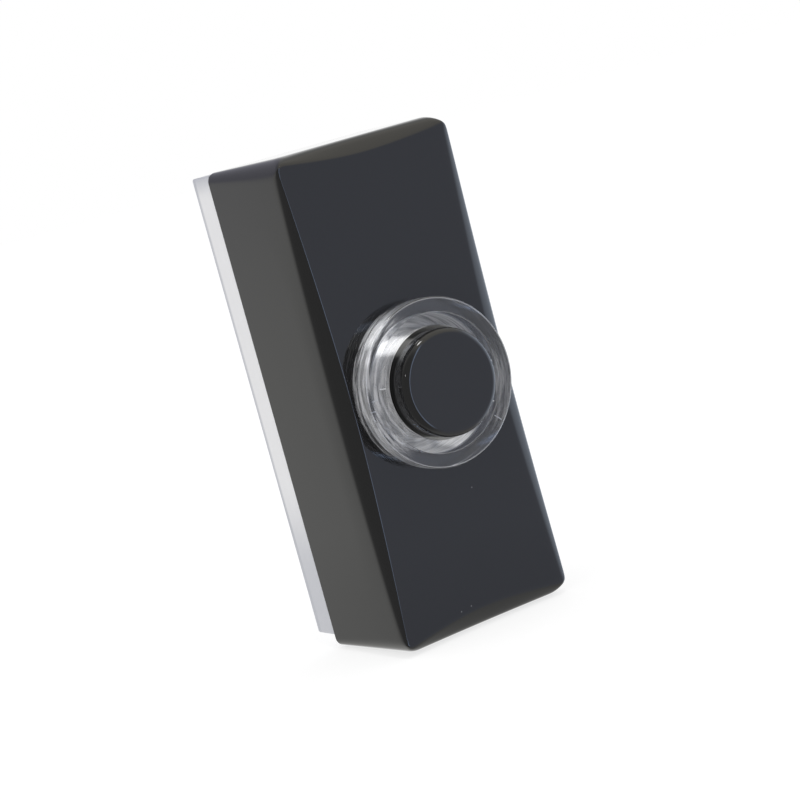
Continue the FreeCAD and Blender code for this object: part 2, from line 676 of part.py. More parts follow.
def make_terminals():
    """Threaded inserts in the bosses, with a square clamp washer and a screw on each."""
    shape = (washer_front, S.terminal_shank, S.terminal_head, S.terminal_head_height, S.terminal_length)
    for side, across in (("left", -S.terminal_side), ("right", S.terminal_side)):
        insert = new_body("terminal_insert_" + side)
        low = S.boss_depth - S.insert_length + S.seat_gap
        middle = (S.boss_depth + low) * 0.5
        groove = S.insert_groove
        disc(insert, "insert_%s_turned" % side, [
            (S.insert_bore, S.boss_depth), (S.insert_radius, S.boss_depth),
            (S.insert_radius, middle + groove), (S.insert_radius - groove, middle),
            (S.insert_radius, middle - groove), (S.insert_radius, low), (S.insert_bore, low)])
        place(insert, across, -S.terminal_drop)
        washer = new_body("clamp_washer_" + side)
        outline = new_sketch(washer, "washer_%s_outline" % side, offset=strip_front)
        half = S.washer_size * 0.5
        rectangle(outline, -half, half, -half, half)
        circle(outline, ZERO, ZERO, S.terminal_hole)
        plate = feature(washer, "Pad", "washer_%s_plate" % side, outline, S.washer_thick)

        def outer(edge, reach=half.value):
            box = edge.BoundBox
            return runs_deep(edge) and near(abs(box.XMin), reach) and near(abs(box.ZMin), reach)

        round_edges(washer, "washer_%s_corners" % side, plate, outer, S.washer_corner, "Chamfer")
        place(washer, across, -S.terminal_drop)
        make_screw("terminal_screw_" + side, across, -S.terminal_drop, *shape)


def make_moving_contact():
    """Sprung strip from the left terminal, ramped forward to a tongue under the stem."""
    body = new_body("moving_contact")
    low, high, thick = S.boss_depth, S.tongue_depth, S.strip_thick
    side = new_sketch(body, "strip_side", "YZ_Plane", offset=-S.strip_left)
    polygon(side, [
        (-low, -S.strip_bottom), (-low, -S.ramp_start), (-high, -S.tongue_start), (-high, S.tongue_top),
        (-(high + thick), S.tongue_top), (-(high + thick), -(S.tongue_start + thick * 0.5)),
        (-(low + thick), -(S.ramp_start + thick * 0.5)), (-(low + thick), -S.strip_bottom)])
    feature(body, "Pad", "strip", side, S.strip_left + S.tongue_half)
    trim = new_sketch(body, "strip_trim", offset=high + thick + CUT)
    rectangle(trim, -(S.strip_left + CUT), -S.tongue_half, -S.tongue_root, S.tongue_top + CUT)
    feature(body, "Pocket", "tongue_cut", trim, S.tongue_depth - S.boss_depth + 3 * CUT)
    hole = new_sketch(body, "strip_hole", offset=low + thick + CUT)
    circle(hole, -S.terminal_side, -S.terminal_drop, S.terminal_hole)
    feature(body, "Pocket", "strip_screw_hole", hole, thick + 2 * CUT)
    return body


def make_fixed_contact():
    """Flat strip from the right terminal, with an arm and a bump under the tongue."""
    body = new_body("fixed_contact")
    outline = new_sketch(body, "fixed_outline", offset=S.boss_depth)
    polygon(outline, [
        (S.fixed_inner, -S.strip_bottom), (S.fixed_outer, -S.strip_bottom),
        (S.fixed_outer, -S.ramp_start), (S.fixed_neck, -S.tongue_root), (S.fixed_neck, S.fixed_top),
        (S.fixed_inner, S.fixed_top), (S.fixed_inner, S.arm_half), (-S.arm_reach, S.arm_half),
        (-S.arm_reach, -S.arm_half), (S.fixed_inner, -S.arm_half)])
    feature(body, "Pad", "fixed_strip", outline, S.strip_thick)
    bump = new_sketch(body, "bump_circle", offset=S.boss_depth)
    circle(bump, ZERO, ZERO, S.bump_radius)
    feature(body, "Pad", "bump", bump, S.strip_thick + S.bump_height)
    hole = new_sketch(body, "fixed_hole", offset=strip_front + CUT)
    circle(hole, S.terminal_side, -S.terminal_drop, S.terminal_hole)
    feature(body, "Pocket", "fixed_screw_hole", hole, S.strip_thick + 2 * CUT)
    return body


def make_lamp():
    """Small lamp with a domed end, standing on the carrier behind the light tube."""
    body = new_body("led_lamp")
    tip = carrier_front + S.lamp_length
    rim = carrier_front + S.lamp_rim_height
    dome = [(S.lamp_radius * math.sin(a), tip - S.lamp_radius * (1 - math.cos(a)))
            for a in (math.pi / 6, math.pi / 3)]
    disc(body, "lamp_turned", [(ZERO, tip), *dome, (S.lamp_radius, tip - S.lamp_radius), (S.lamp_radius, rim),
                               (S.lamp_rim, rim), (S.lamp_rim, carrier_front), (ZERO, carrier_front)])
    place(body, None, S.lamp_rise)
    return body


def make_lead(label, points, sides):
    """Lead of four or eight sides through corner points, with a tangent arc at each corner."""
    bend = S.lead_bend.value
    edges = []
    start = points[0]
    for corner, following in zip(points[1:], points[2:]):
        back = (start - corner).normalize()
        ahead = (following - corner).normalize()
        arc_start = corner + back * bend
        arc_end = corner + ahead * bend
        inward = (back + ahead).normalize()
        arc_middle = corner + inward * bend * (math.sqrt(2) - 1)
        edges.append(Part.LineSegment(start, arc_start).toShape())
        edges.append(Part.Arc(arc_start, arc_middle, arc_end).toShape())
        start = arc_end
    edges.append(Part.LineSegment(start, points[-1]).toShape())
    across = Vector(1, 0, 0)
    up = across.cross(points[1] - points[0]).normalize()
    half = S.lead_half.value if sides == 4 else S.lead_radius.value
    reach = half / math.cos(math.pi / sides)
    turns = [math.pi * (2 * k + 1) / sides for k in range(sides + 1)]
    section = Part.makePolygon([
        points[0] + across * reach * math.cos(a) + up * reach * math.sin(a) for a in turns])
    lead = doc.addObject("Part::Feature", label)
    lead.Shape = Part.Wire(edges).makePipeShell([section], True, False)
    return lead


def make_leads():
    """Leads of the lamp and of the resistor, all behind the carrier."""
    side, rise, depth = S.lead_side.value, S.lamp_rise.value, S.lead_depth.value
    front = carrier_front.value - S.lead_gap.value
    solder = strip_front.value + S.lead_gap.value
    column = resistor_side.value
    strip = neck_middle.value
    middle, half = S.resistor_middle.value, S.resistor_half.value
    gap = S.lead_half.value + S.lead_gap.value
    foot = -(S.ramp_start.value + S.lead_foot.value)
    make_lead("led_lead_left", [
        Vector(-side, -front, rise), Vector(-side, -depth, rise),
        Vector(-(column + gap), -depth, rise)], 4)
    make_lead("led_lead_right", [
        Vector(side, -front, rise), Vector(side, -depth, rise), Vector(strip, -depth, rise),
        Vector(strip, -solder, rise)], 4)
    make_lead("resistor_lead_upper", [
        Vector(-column, -depth, middle + half), Vector(-column, -depth, rise - gap)], 8)
    make_lead("resistor_lead_lower", [
        Vector(-column, -depth, middle - half), Vector(-column, -depth, foot),
        Vector(-column, -solder, foot)], 8)


def make_resistor():
    """Resistor body with fuller end caps, lying along Z behind the carrier."""
    body = new_body("resistor_body")
    sketch = new_sketch(body, "resistor_profile", "XZ_Plane")
    low, high = S.resistor_middle - S.resistor_half, S.resistor_middle + S.resistor_half
    end, waist = S.resistor_radius, S.resistor_waist
    low_cap, high_cap = low + S.resistor_cap, high - S.resistor_cap
    polygon(sketch, [
        (ZERO, low), (end, low), (end, low_cap), (waist, low_cap + S.resistor_slope),
        (waist, high_cap - S.resistor_slope), (end, high_cap), (end, high), (ZERO, high)])
    turned = revolve(body, "resistor_turned", sketch)

    def cap_edge(edge):
        box = edge.BoundBox
        return box.ZLength < 0.01 and near(box.XMax, end.value) and (near(box.ZMin, low.value)
                                                                  or near(box.ZMin, high.value))

    round_edges(body, "resistor_edges", turned, cap_edge, S.resistor_edge, "Chamfer")
    place(body, -resistor_side)
    bind(body, "Placement.Base.y", -S.lead_depth)
    return body


make_cover()
make_back_plate()
make_lens_ring()
make_push_button()
make_return_spring()
make_switch_carrier()
make_carrier_screws()
make_terminals()
make_moving_contact()
make_fixed_contact()
make_lamp()
make_leads()
make_resistor()
doc.recompute()

NODES = [
    "back_plate", "cover", "lens_ring", "push_button", "return_spring", "switch_carrier",
    "carrier_screw_lower", "carrier_screw_upper", "terminal_insert_left", "terminal_insert_right",
    "terminal_screw_left", "terminal_screw_right", "clamp_washer_left", "clamp_washer_right",
    "moving_contact", "fixed_contact", "led_lamp", "led_lead_left", "led_lead_right",
    "resistor_body", "resistor_lead_upper", "resistor_lead_lower",
]

for obj in doc.Objects:
    if "Invalid" in obj.State or "Error" in obj.State:
        raise RuntimeError("%s did not build: %s" % (obj.Name, obj.State))

os.makedirs("parts", exist_ok=True)
for node in NODES:
    shape = doc.getObjectsByLabel(node)[0].Shape
    if shape.isNull() or not shape.isValid() or len(shape.Solids) != 1:
        raise RuntimeError("%s has no single valid solid" % node)
    shape.exportStep("parts/%s.step" % node)
    print(node, round(shape.Volume, 1))
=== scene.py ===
import math
from types import SimpleNamespace

import bmesh
import bpy
import numpy as np
from bpy.props import FloatProperty, FloatVectorProperty, IntProperty, PointerProperty
from mathutils import Matrix, Vector


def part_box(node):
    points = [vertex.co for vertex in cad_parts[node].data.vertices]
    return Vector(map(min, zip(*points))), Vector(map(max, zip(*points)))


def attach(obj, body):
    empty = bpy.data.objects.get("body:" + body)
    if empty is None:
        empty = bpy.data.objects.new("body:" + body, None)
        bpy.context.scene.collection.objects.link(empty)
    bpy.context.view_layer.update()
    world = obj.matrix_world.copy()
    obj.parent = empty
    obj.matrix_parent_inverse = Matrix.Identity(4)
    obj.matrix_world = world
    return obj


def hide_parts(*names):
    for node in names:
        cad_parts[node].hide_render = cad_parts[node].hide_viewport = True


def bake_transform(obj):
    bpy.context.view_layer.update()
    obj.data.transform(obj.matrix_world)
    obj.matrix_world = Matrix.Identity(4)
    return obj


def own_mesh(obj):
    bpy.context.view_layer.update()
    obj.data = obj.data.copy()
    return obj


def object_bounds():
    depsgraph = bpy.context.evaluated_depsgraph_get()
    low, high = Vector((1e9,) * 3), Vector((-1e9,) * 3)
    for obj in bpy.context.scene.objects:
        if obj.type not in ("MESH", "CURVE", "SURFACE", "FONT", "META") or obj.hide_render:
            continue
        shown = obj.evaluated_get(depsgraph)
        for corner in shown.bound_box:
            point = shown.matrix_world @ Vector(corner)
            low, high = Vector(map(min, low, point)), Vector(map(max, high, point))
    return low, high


# A lighted doorbell push. Everything is in metres in the frame of the part: X across, Z up,
# the wall at Y = 0 and the front towards -Y. "Depth" is the distance in front of the wall.

bl_info = {
    "name": "Doorbell push",
    "version": (1, 0, 0),
    "blender": (4, 5, 0),
    "location": "View3D > Sidebar > Doorbell push",
    "description": "Builds the looks of a lighted doorbell push round its fixed frame",
    "category": "Object",
}

MM = 0.001
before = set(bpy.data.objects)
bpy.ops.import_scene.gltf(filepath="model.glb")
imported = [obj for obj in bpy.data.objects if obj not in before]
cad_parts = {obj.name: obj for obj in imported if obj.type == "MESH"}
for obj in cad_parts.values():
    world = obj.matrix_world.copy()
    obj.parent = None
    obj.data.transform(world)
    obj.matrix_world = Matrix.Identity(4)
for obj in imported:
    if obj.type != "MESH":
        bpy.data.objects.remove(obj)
CAD_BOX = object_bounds()
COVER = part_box("cover")
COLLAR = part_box("lens_ring")
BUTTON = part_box("push_button")
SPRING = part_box("return_spring")

# Noise hardly leaves this span, so its share of a range is taken from it.
NOISE_SPAN = {"From_Min": 0.3, "From_Max": 0.7}


def linear(hex_colour):
    """sRGB hex to linear RGBA."""
    out = []
    for n in (1, 3, 5):
        c = int(hex_colour[n:n + 2], 16) / 255
        out.append(c / 12.92 if c <= 0.04045 else ((c + 0.055) / 1.055) ** 2.4)
    return (*out, 1.0)


def add_node(tree, kind, links=(), **settings):
    """Add a shader node. Settings name its properties or inputs, and i7 is input number 7. Links are
    (input, source): a source is a socket, or a node, which stands for its first output in use."""
    node = tree.nodes.new("ShaderNode" + kind)
    for name, value in settings.items():
        if hasattr(node, name):
            setattr(node, name, value)
        else:
            key = int(name[1:]) if name[0] == "i" and name[1:].isdigit() else name.replace("_", " ")
            node.inputs[key].default_value = value
    for name, source in links:
        if isinstance(source, bpy.types.Node):
            source = next(socket for socket in source.outputs if socket.enabled)
        tree.links.new(source, node.inputs[name])
    return node


def new_material(name):
    made = bpy.data.materials.new(name)
    made.use_nodes = True
    made.node_tree.nodes.clear()
    return made, made.node_tree


def object_noise(tree, size_mm, detail=2.0, stretch=(1, 1, 1)):
    """Noise whose features are about size_mm across."""
    coords = add_node(tree, "TexCoord")
    scaled = add_node(tree, "Mapping", [("Vector", coords.outputs["Object"])], Scale=stretch)
    return add_node(tree, "TexNoise", [("Vector", scaled)], Scale=1 / (size_mm * MM), Detail=detail,
                    Roughness=0.55)


def black_gloss_abs(name, colour, dust):
    """ABS, injection moulded in a polished tool: near black, mirror-like, with a faint
    long-wave ripple from the flow of the plastic. Dust is the share of 4.5 mm squares on
    the front that hold a speck."""
    made, tree = new_material(name)
    ripple = object_noise(tree, 11.0, 1.0)
    bump = add_node(tree, "Bump", [("Height", ripple)], Strength=0.1, Distance=0.02 * MM)
    coords = add_node(tree, "TexCoord")
    place = add_node(tree, "SeparateXYZ", [("Vector", coords.outputs["Object"])])
    front = add_node(tree, "CombineXYZ", [("X", place.outputs["X"]), ("Y", place.outputs["Z"])])
    cells = add_node(tree, "TexVoronoi", [("Vector", front)], voronoi_dimensions="2D", Scale=1 / (4.5 * MM))
    speck = add_node(tree, "MapRange", [("Value", cells)], From_Min=0.015, From_Max=0.035, To_Min=1.0,
                     To_Max=0.0)
    chosen = add_node(tree, "Math", [(0, cells.outputs["Color"])], operation="GREATER_THAN", i1=1 - dust)
    facing = add_node(tree, "SeparateXYZ", [("Vector", coords.outputs["Normal"])])
    ahead = add_node(tree, "Math", [(0, facing.outputs["Y"])], operation="LESS_THAN", i1=-0.98)
    mask = add_node(tree, "Math", [(0, speck), (1, chosen)], operation="MULTIPLY")
    mask = add_node(tree, "Math", [(0, mask), (1, ahead)], operation="MULTIPLY")
    tint = add_node(tree, "Mix", [("Factor", mask)], data_type="RGBA", i6=colour, i7=linear("#5e5e62"))
    rough = add_node(tree, "MapRange", [("Value", object_noise(tree, 14.0, 3.0))], **NOISE_SPAN,
                     To_Min=0.035, To_Max=0.07)
    shader = add_node(tree, "BsdfPrincipled", [("Base Color", tint), ("Roughness", rough), ("Normal", bump)],
                      IOR=1.53)
    add_node(tree, "OutputMaterial", [("Surface", shader)])
    return made


def clear_lamp_epoxy(name):
    """Epoxy, cast in a polished cup: water clear, with a slow ripple that bends what shows through."""
    made, tree = new_material(name)
    ripple = object_noise(tree, 2.0, 1.5)
    bump = add_node(tree, "Bump", [("Height", ripple)], Strength=0.1, Distance=0.05 * MM)
    rough = add_node(tree, "MapRange", [("Value", ripple)], **NOISE_SPAN, To_Min=0.024, To_Max=0.056)
    tint = add_node(tree, "Mix", [("Factor", ripple)], data_type="RGBA", i6=linear("#f3f5fb"),
                    i7=linear("#ffffff"))
    shader = add_node(tree, "BsdfPrincipled", [("Base Color", tint), ("Roughness", rough), ("Normal", bump)],
                      IOR=1.54, Transmission_Weight=1.0)
    add_node(tree, "OutputMaterial", [("Surface", shader)])
    return made


def milky_wall_plate(name, colour):
    """Polycarbonate, moulded: seen edge-on it gathers light like frosted glass. It is greyer
    towards its lower end, at its top edge and along the rim that lies on the wall: painted shade."""
    made, tree = new_material(name)
    coords = add_node(tree, "TexCoord")
    place = add_node(tree, "SeparateXYZ", [("Vector", coords.outputs["Object"])])
    cloud = object_noise(tree, 12.0, 1.0)
    height = add_node(tree, "Math", [(0, cloud), (2, place.outputs["Z"])], operation="MULTIPLY_ADD",
                      i1=6.0 * MM)
    # Share of painted shade: where from, where to in millimetres, and how much there
    painted_shade = added(tree, *(
        add_node(tree, "MapRange", [("Value", along)], interpolation_type="SMOOTHSTEP",
                 From_Min=low * MM, From_Max=high * MM, To_Min=first, To_Max=last)
        for along, low, high, first, last in ((height, -26.0, -8.0, 0.8, 0.0),
                                              (place.outputs["Z"], 36.0, 40.5, 0.0, 1.0),
                                              (place.outputs["Y"], -1.1, -0.3, 0.0, 0.9))))
    # The plate's colour, greyed by the painted shade
    tint = add_node(tree, "Mix", [("Factor", painted_shade)], data_type="RGBA", i6=colour, i7=linear("#cbcdd5"))
    rough = add_node(tree, "MapRange", [("Value", cloud)], **NOISE_SPAN, To_Min=0.3, To_Max=0.4)
    shader = add_node(tree, "BsdfPrincipled", [("Base Color", tint), ("Roughness", rough)], IOR=1.58,
                      Transmission_Weight=0.15)
    add_node(tree, "OutputMaterial", [("Surface", shader)])
    return made


def around_axis(tree):
    """Direction and distance of a place from the axis of the button, and its place along the
    ring's section, which runs down the front and on along the walls."""
    coords = add_node(tree, "TexCoord")
    flat = add_node(tree, "VectorMath", [(0, coords.outputs["Object"])], operation="MULTIPLY", i1=(1, 0, 1))
    turn = add_node(tree, "VectorMath", [(0, flat)], operation="NORMALIZE")
    away = add_node(tree, "VectorMath", [(0, flat)], operation="LENGTH")
    place = add_node(tree, "SeparateXYZ", [("Vector", coords.outputs["Object"])])
    row = add_node(tree, "Math", [(0, away), (1, place.outputs["Y"])], operation="SUBTRACT")
    return turn, away, row


def streaks(tree, turn, row, width_mm, along):
    """Noise drawn out round the axis: streaks width_mm wide and about 1 / along radians long."""
    place = add_node(tree, "VectorMath", [(0, turn)], operation="SCALE", Scale=along)
    across = add_node(tree, "Math", [(0, row)], operation="MULTIPLY", i1=1 / (width_mm * MM))
    return add_node(tree, "TexNoise", [("Vector", place), ("W", across)], noise_dimensions="4D", Scale=1.0,
                    Detail=3.0, Roughness=0.6)


def lobe(tree, direction, centre, low, high, strength):
    """Strength round a direction, falling softly to nothing between two cosines."""
    along = add_node(tree, "VectorMath", [(0, direction)], operation="DOT_PRODUCT", i1=centre)
    return add_node(tree, "MapRange", [("Value", along)], interpolation_type="SMOOTHSTEP", From_Min=low,
                    From_Max=high, To_Min=0.0, To_Max=strength)


def turned_lobe(tree, turn, degrees, low, high, strength):
    """The same round the axis, in degrees from the right towards the top."""
    angle = math.radians(degrees)
    return lobe(tree, turn, (math.cos(angle), 0, math.sin(angle)), low, high, strength)


def ring_line(tree, away, radius_mm, half_mm, strength):
    """Strength on a thin ring at a radius, for a painted highlight on an edge."""
    off = add_node(tree, "Math", [(0, away)], operation="SUBTRACT", i1=radius_mm * MM)
    size = add_node(tree, "Math", [(0, off)], operation="ABSOLUTE")
    return add_node(tree, "MapRange", [("Value", size)], From_Min=half_mm / 3 * MM, From_Max=half_mm * MM,
                    To_Min=strength, To_Max=0.0)


def added(tree, first, *others):
    """Sum of the strengths of marks that lie over each other."""
    total = first
    for other in others:
        total = add_node(tree, "Math", [(0, total), (1, other)], operation="ADD")
    return total


def clear_collar_acrylic(name, colour):
    """Acrylic, injection moulded and polished: clear, with flow streaks that run round the ring.
    In the streaks a milky haze of painted light, strongest on the left and weaker on the right, stands for
    light seen through the ring; a painted highlight lies on the upper left rim and painted highlight lines on
    the step and near the outer edge."""
    made, tree = new_material(name)
    turn, away, row = around_axis(tree)
    flow = streaks(tree, turn, row, 0.55, 2.6)
    # Painted highlight on the upper left rim
    painted_rim_highlight = add_node(tree, "Math", [(0, turned_lobe(tree, turn, 130, 0.9, 0.985, 0.55)),
                                   (1, ring_line(tree, away, 13.35, 0.5, 1.0))], operation="MULTIPLY")
    # Painted light: milky haze, strongest on the left and weaker on the right
    painted_light_haze = added(tree, turned_lobe(tree, turn, 168, 0.42, 0.72, 0.25),
                 turned_lobe(tree, turn, -18, 0.7, 0.95, 0.12), painted_rim_highlight)
    # Painted highlight lines at the step and near the outer edge
    painted_edge_highlights = added(tree, ring_line(tree, away, 13.15, 0.12, 0.26), ring_line(tree, away, 11.05, 0.1, 0.26))
    marks = add_node(tree, "MapRange", [("Value", flow)], From_Min=0.42, From_Max=0.62, To_Min=0.08,
                     To_Max=1.6)
    painted_light_milk = added(tree, add_node(tree, "Math", [(0, painted_light_haze), (1, marks)], operation="MULTIPLY"), painted_edge_highlights)
    clear = add_node(tree, "Math", [(1, painted_light_milk)], operation="SUBTRACT", i0=0.96)
    bump = add_node(tree, "Bump", [("Height", flow)], Strength=0.1, Distance=0.03 * MM)
    tint = add_node(tree, "Mix", [("Factor", flow)], data_type="RGBA", i6=colour, i7=linear("#efeef0"))
    rough = add_node(tree, "MapRange", [("Value", flow)], **NOISE_SPAN, To_Min=0.015, To_Max=0.05)
    shader = add_node(tree, "BsdfPrincipled", [("Base Color", tint), ("Transmission Weight", clear),
                                               ("Roughness", rough), ("Normal", bump)], IOR=1.49)
    add_node(tree, "OutputMaterial", [("Surface", shader)])
    return made


def lit_light_guide(name, colour, glow):
    """Acrylic, left matt from a blasted tool: it glows in streaks round the ring, partly with the
    light of the lamp and partly with painted light for the daylight it scatters, and has painted highlights
    at three places round the ring."""
    made, tree = new_material(name)
    turn, _, row = around_axis(tree)
    bands = streaks(tree, turn, row, 0.6, 1.6)
    # Glow in streaks: partly the lamp's light, partly painted light
    lamp_glow_and_painted_light = add_node(tree, "MapRange", [("Value", bands)], **NOISE_SPAN, To_Min=glow * 0.4, To_Max=glow * 1.6)
    # Painted highlights at three places round the ring
    painted_highlights = added(tree, *(turned_lobe(tree, turn, *spot) for spot in (
        (121, 0.96, 0.996, 0.8), (262, 0.98, 0.998, 0.12), (288, 0.97, 0.998, 0.3))))
    share = add_node(tree, "MapRange", [("Value", bands)], From_Min=0.36, From_Max=0.64, To_Min=0.0,
                     To_Max=1.0)
    tint = add_node(tree, "Mix", [("Factor", share)], data_type="RGBA", i6=linear("#77797f"),
                    i7=linear("#e2e2e4"))
    shader = add_node(tree, "BsdfPrincipled",
                      [("Base Color", tint), ("Emission Strength", added(tree, lamp_glow_and_painted_light, painted_highlights))], Roughness=0.5,
                      IOR=1.49, Emission_Color=colour)
    add_node(tree, "OutputMaterial", [("Surface", shader)])
    return made


def frosted_mark(name):
    """Acrylic, cut by a tool mark: bright, because the rough cut scatters light."""
    made, tree = new_material(name)
    grain = object_noise(tree, 0.15, 2.0)
    tint = add_node(tree, "Mix", [("Factor", grain)], data_type="RGBA", i6=linear("#b9bcc4"),
                    i7=linear("#ffffff"))
    shader = add_node(tree, "BsdfPrincipled", [("Base Color", tint)], Roughness=0.4, IOR=1.49)
    add_node(tree, "OutputMaterial", [("Surface", shader)])
    return made


def satin_moulded_abs(name):
    """ABS from a spark-eroded tool: satin white, with a fine even grain."""
    made, tree = new_material(name)
    grain = object_noise(tree, 0.6, 3.0)
    bump = add_node(tree, "Bump", [("Height", grain)], Strength=0.25, Distance=0.02 * MM)
    tone = add_node(tree, "Mix", [("Factor", grain)], data_type="RGBA", i6=linear("#dedcd3"),
                    i7=linear("#f4f3ee"))
    shader = add_node(tree, "BsdfPrincipled", [("Base Color", tone), ("Normal", bump)], Roughness=0.45,
                      IOR=1.5)
    add_node(tree, "OutputMaterial", [("Surface", shader)])
    return made


def metal(name, dark, light, roughness, grain_mm, stretch=(1, 1, 1)):
    """Bare or plated metal: drawn, rolled or turned marks vary its roughness and its tone."""
    made, tree = new_material(name)
    marks = object_noise(tree, grain_mm, 4.0, stretch)
    tone = add_node(tree, "Mix", [("Factor", marks)], data_type="RGBA", i6=linear(dark), i7=linear(light))
    rough = add_node(tree, "MapRange", [("Value", marks)], **NOISE_SPAN, To_Min=roughness * 0.75,
                     To_Max=roughness * 1.3)
    bump = add_node(tree, "Bump", [("Height", marks)], Strength=0.2, Distance=0.01 * MM)
    shader = add_node(tree, "BsdfPrincipled", [("Base Color", tone), ("Roughness", rough), ("Normal", bump)],
                      Metallic=1.0)
    add_node(tree, "OutputMaterial", [("Surface", shader)])
    return made


def banded_lacquer(name, body, bands):
    """Lacquer, dipped: a sandy coat with painted rings at set heights along Z, in millimetres."""
    made, tree = new_material(name)
    coords = add_node(tree, "TexCoord")
    place = add_node(tree, "SeparateXYZ", [("Vector", coords.outputs["Object"])])
    colour = add_node(tree, "Mix", [("Factor", object_noise(tree, 1.2))], data_type="RGBA", i6=linear(body),
                      i7=linear("#d8c49a"))
    for height, ring in bands:
        away = add_node(tree, "Math", [(0, place.outputs["Z"])], operation="SUBTRACT", i1=height * MM)
        size = add_node(tree, "Math", [(0, away)], operation="ABSOLUTE")
        inside = add_node(tree, "Math", [(0, size)], operation="LESS_THAN", i1=0.28 * MM)
        colour = add_node(tree, "Mix", [("Factor", inside), (6, colour)], data_type="RGBA", i7=linear(ring))
    shader = add_node(tree, "BsdfPrincipled", [("Base Color", colour)], Roughness=0.35, IOR=1.5)
    add_node(tree, "OutputMaterial", [("Surface", shader)])
    return made


def new_piece(name, points, faces, materials, body, node, smooth_angle=35.0):
    """Make a mesh object from points in millimetres as (x, depth, z), its faces outwards. Faces are
    (corners, material). It stands for a node and rides on a body."""
    mesh = bpy.data.meshes.new(name)
    mesh.from_pydata([(x * MM, -depth * MM, z * MM) for x, depth, z in points], [], [f[0] for f in faces])
    for polygon, face in zip(mesh.polygons, faces):
        polygon.material_index = face[1]
        polygon.use_smooth = True
    for made in materials:
        mesh.materials.append(made)
    mesh.update()
    mesh.set_sharp_from_angle(angle=math.radians(smooth_angle))
    piece = bpy.data.objects.new(name, mesh)
    bpy.context.scene.collection.objects.link(piece)
    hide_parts(node)
    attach(piece, body)
    work = bmesh.new()
    work.from_mesh(mesh)
    bmesh.ops.recalc_face_normals(work, faces=work.faces)
    work.to_mesh(mesh)
    work.free()
    return piece


def grid_faces(rows, columns, close_rows, close_columns, material=0, start=0):
    """Quads over a grid of points stored row by row. Material may be a function of the row."""
    faces = []
    for r in range(rows if close_rows else rows - 1):
        for c in range(columns if close_columns else columns - 1):
            a = start + r * columns + c
            b = start + r * columns + (c + 1) % columns
            d = start + ((r + 1) % rows) * columns + c
            e = start + ((r + 1) % rows) * columns + (c + 1) % columns
            faces.append(((a, b, e, d), material(r) if callable(material) else material))
    return faces


def box_faces(start):
    """Faces of a box whose eight corners are stored as two rings of four."""
    a, b, c, d, e, f, g, h = range(start, start + 8)
    rings = ((a, b, c, d), (e, f, g, h), (a, b, f, e), (b, c, g, f), (c, d, h, g), (d, a, e, h))
    return [(ring, 0) for ring in rings]


def arc(centre, radius, start, end, steps):
    """Points on an arc, from start to end degrees."""
    angles = [math.radians(start + (end - start) * k / steps) for k in range(steps + 1)]
    return [(centre[0] + radius * math.cos(a), centre[1] + radius * math.sin(a)) for a in angles]


def turned(profile, segments, material=0, start=0, sweep=None, caps=0):
    """Points and faces of a closed profile of (radius, depth) turned about the Y axis. A sweep
    between two angles in degrees gets a cap at both ends."""
    angles = [2 * math.pi * k / segments for k in range(segments)]
    if sweep:
        low, high = sweep
        angles = [math.radians(low + (high - low) * k / segments) for k in range(segments + 1)]
    points = [(r * math.cos(a), depth, r * math.sin(a)) for r, depth in profile for a in angles]
    count = len(angles)
    faces = grid_faces(len(profile), count, True, sweep is None, material, start)
    if sweep:
        first = [start + k * count for k in range(len(profile))]
        last = [at + count - 1 for at in first]
        faces += [(tuple(first[::-1]), caps), (tuple(last), caps)]
    return points, faces


def add_lug(points, faces, shape, segments, middle, half, material=0):
    """Add a profile turned through half degrees to each side of a middle to a piece's lists."""
    sweep = (middle - half, middle + half)
    more, more_faces = turned(shape, segments, material, len(points), sweep, material)
    points += more
    faces += more_faces


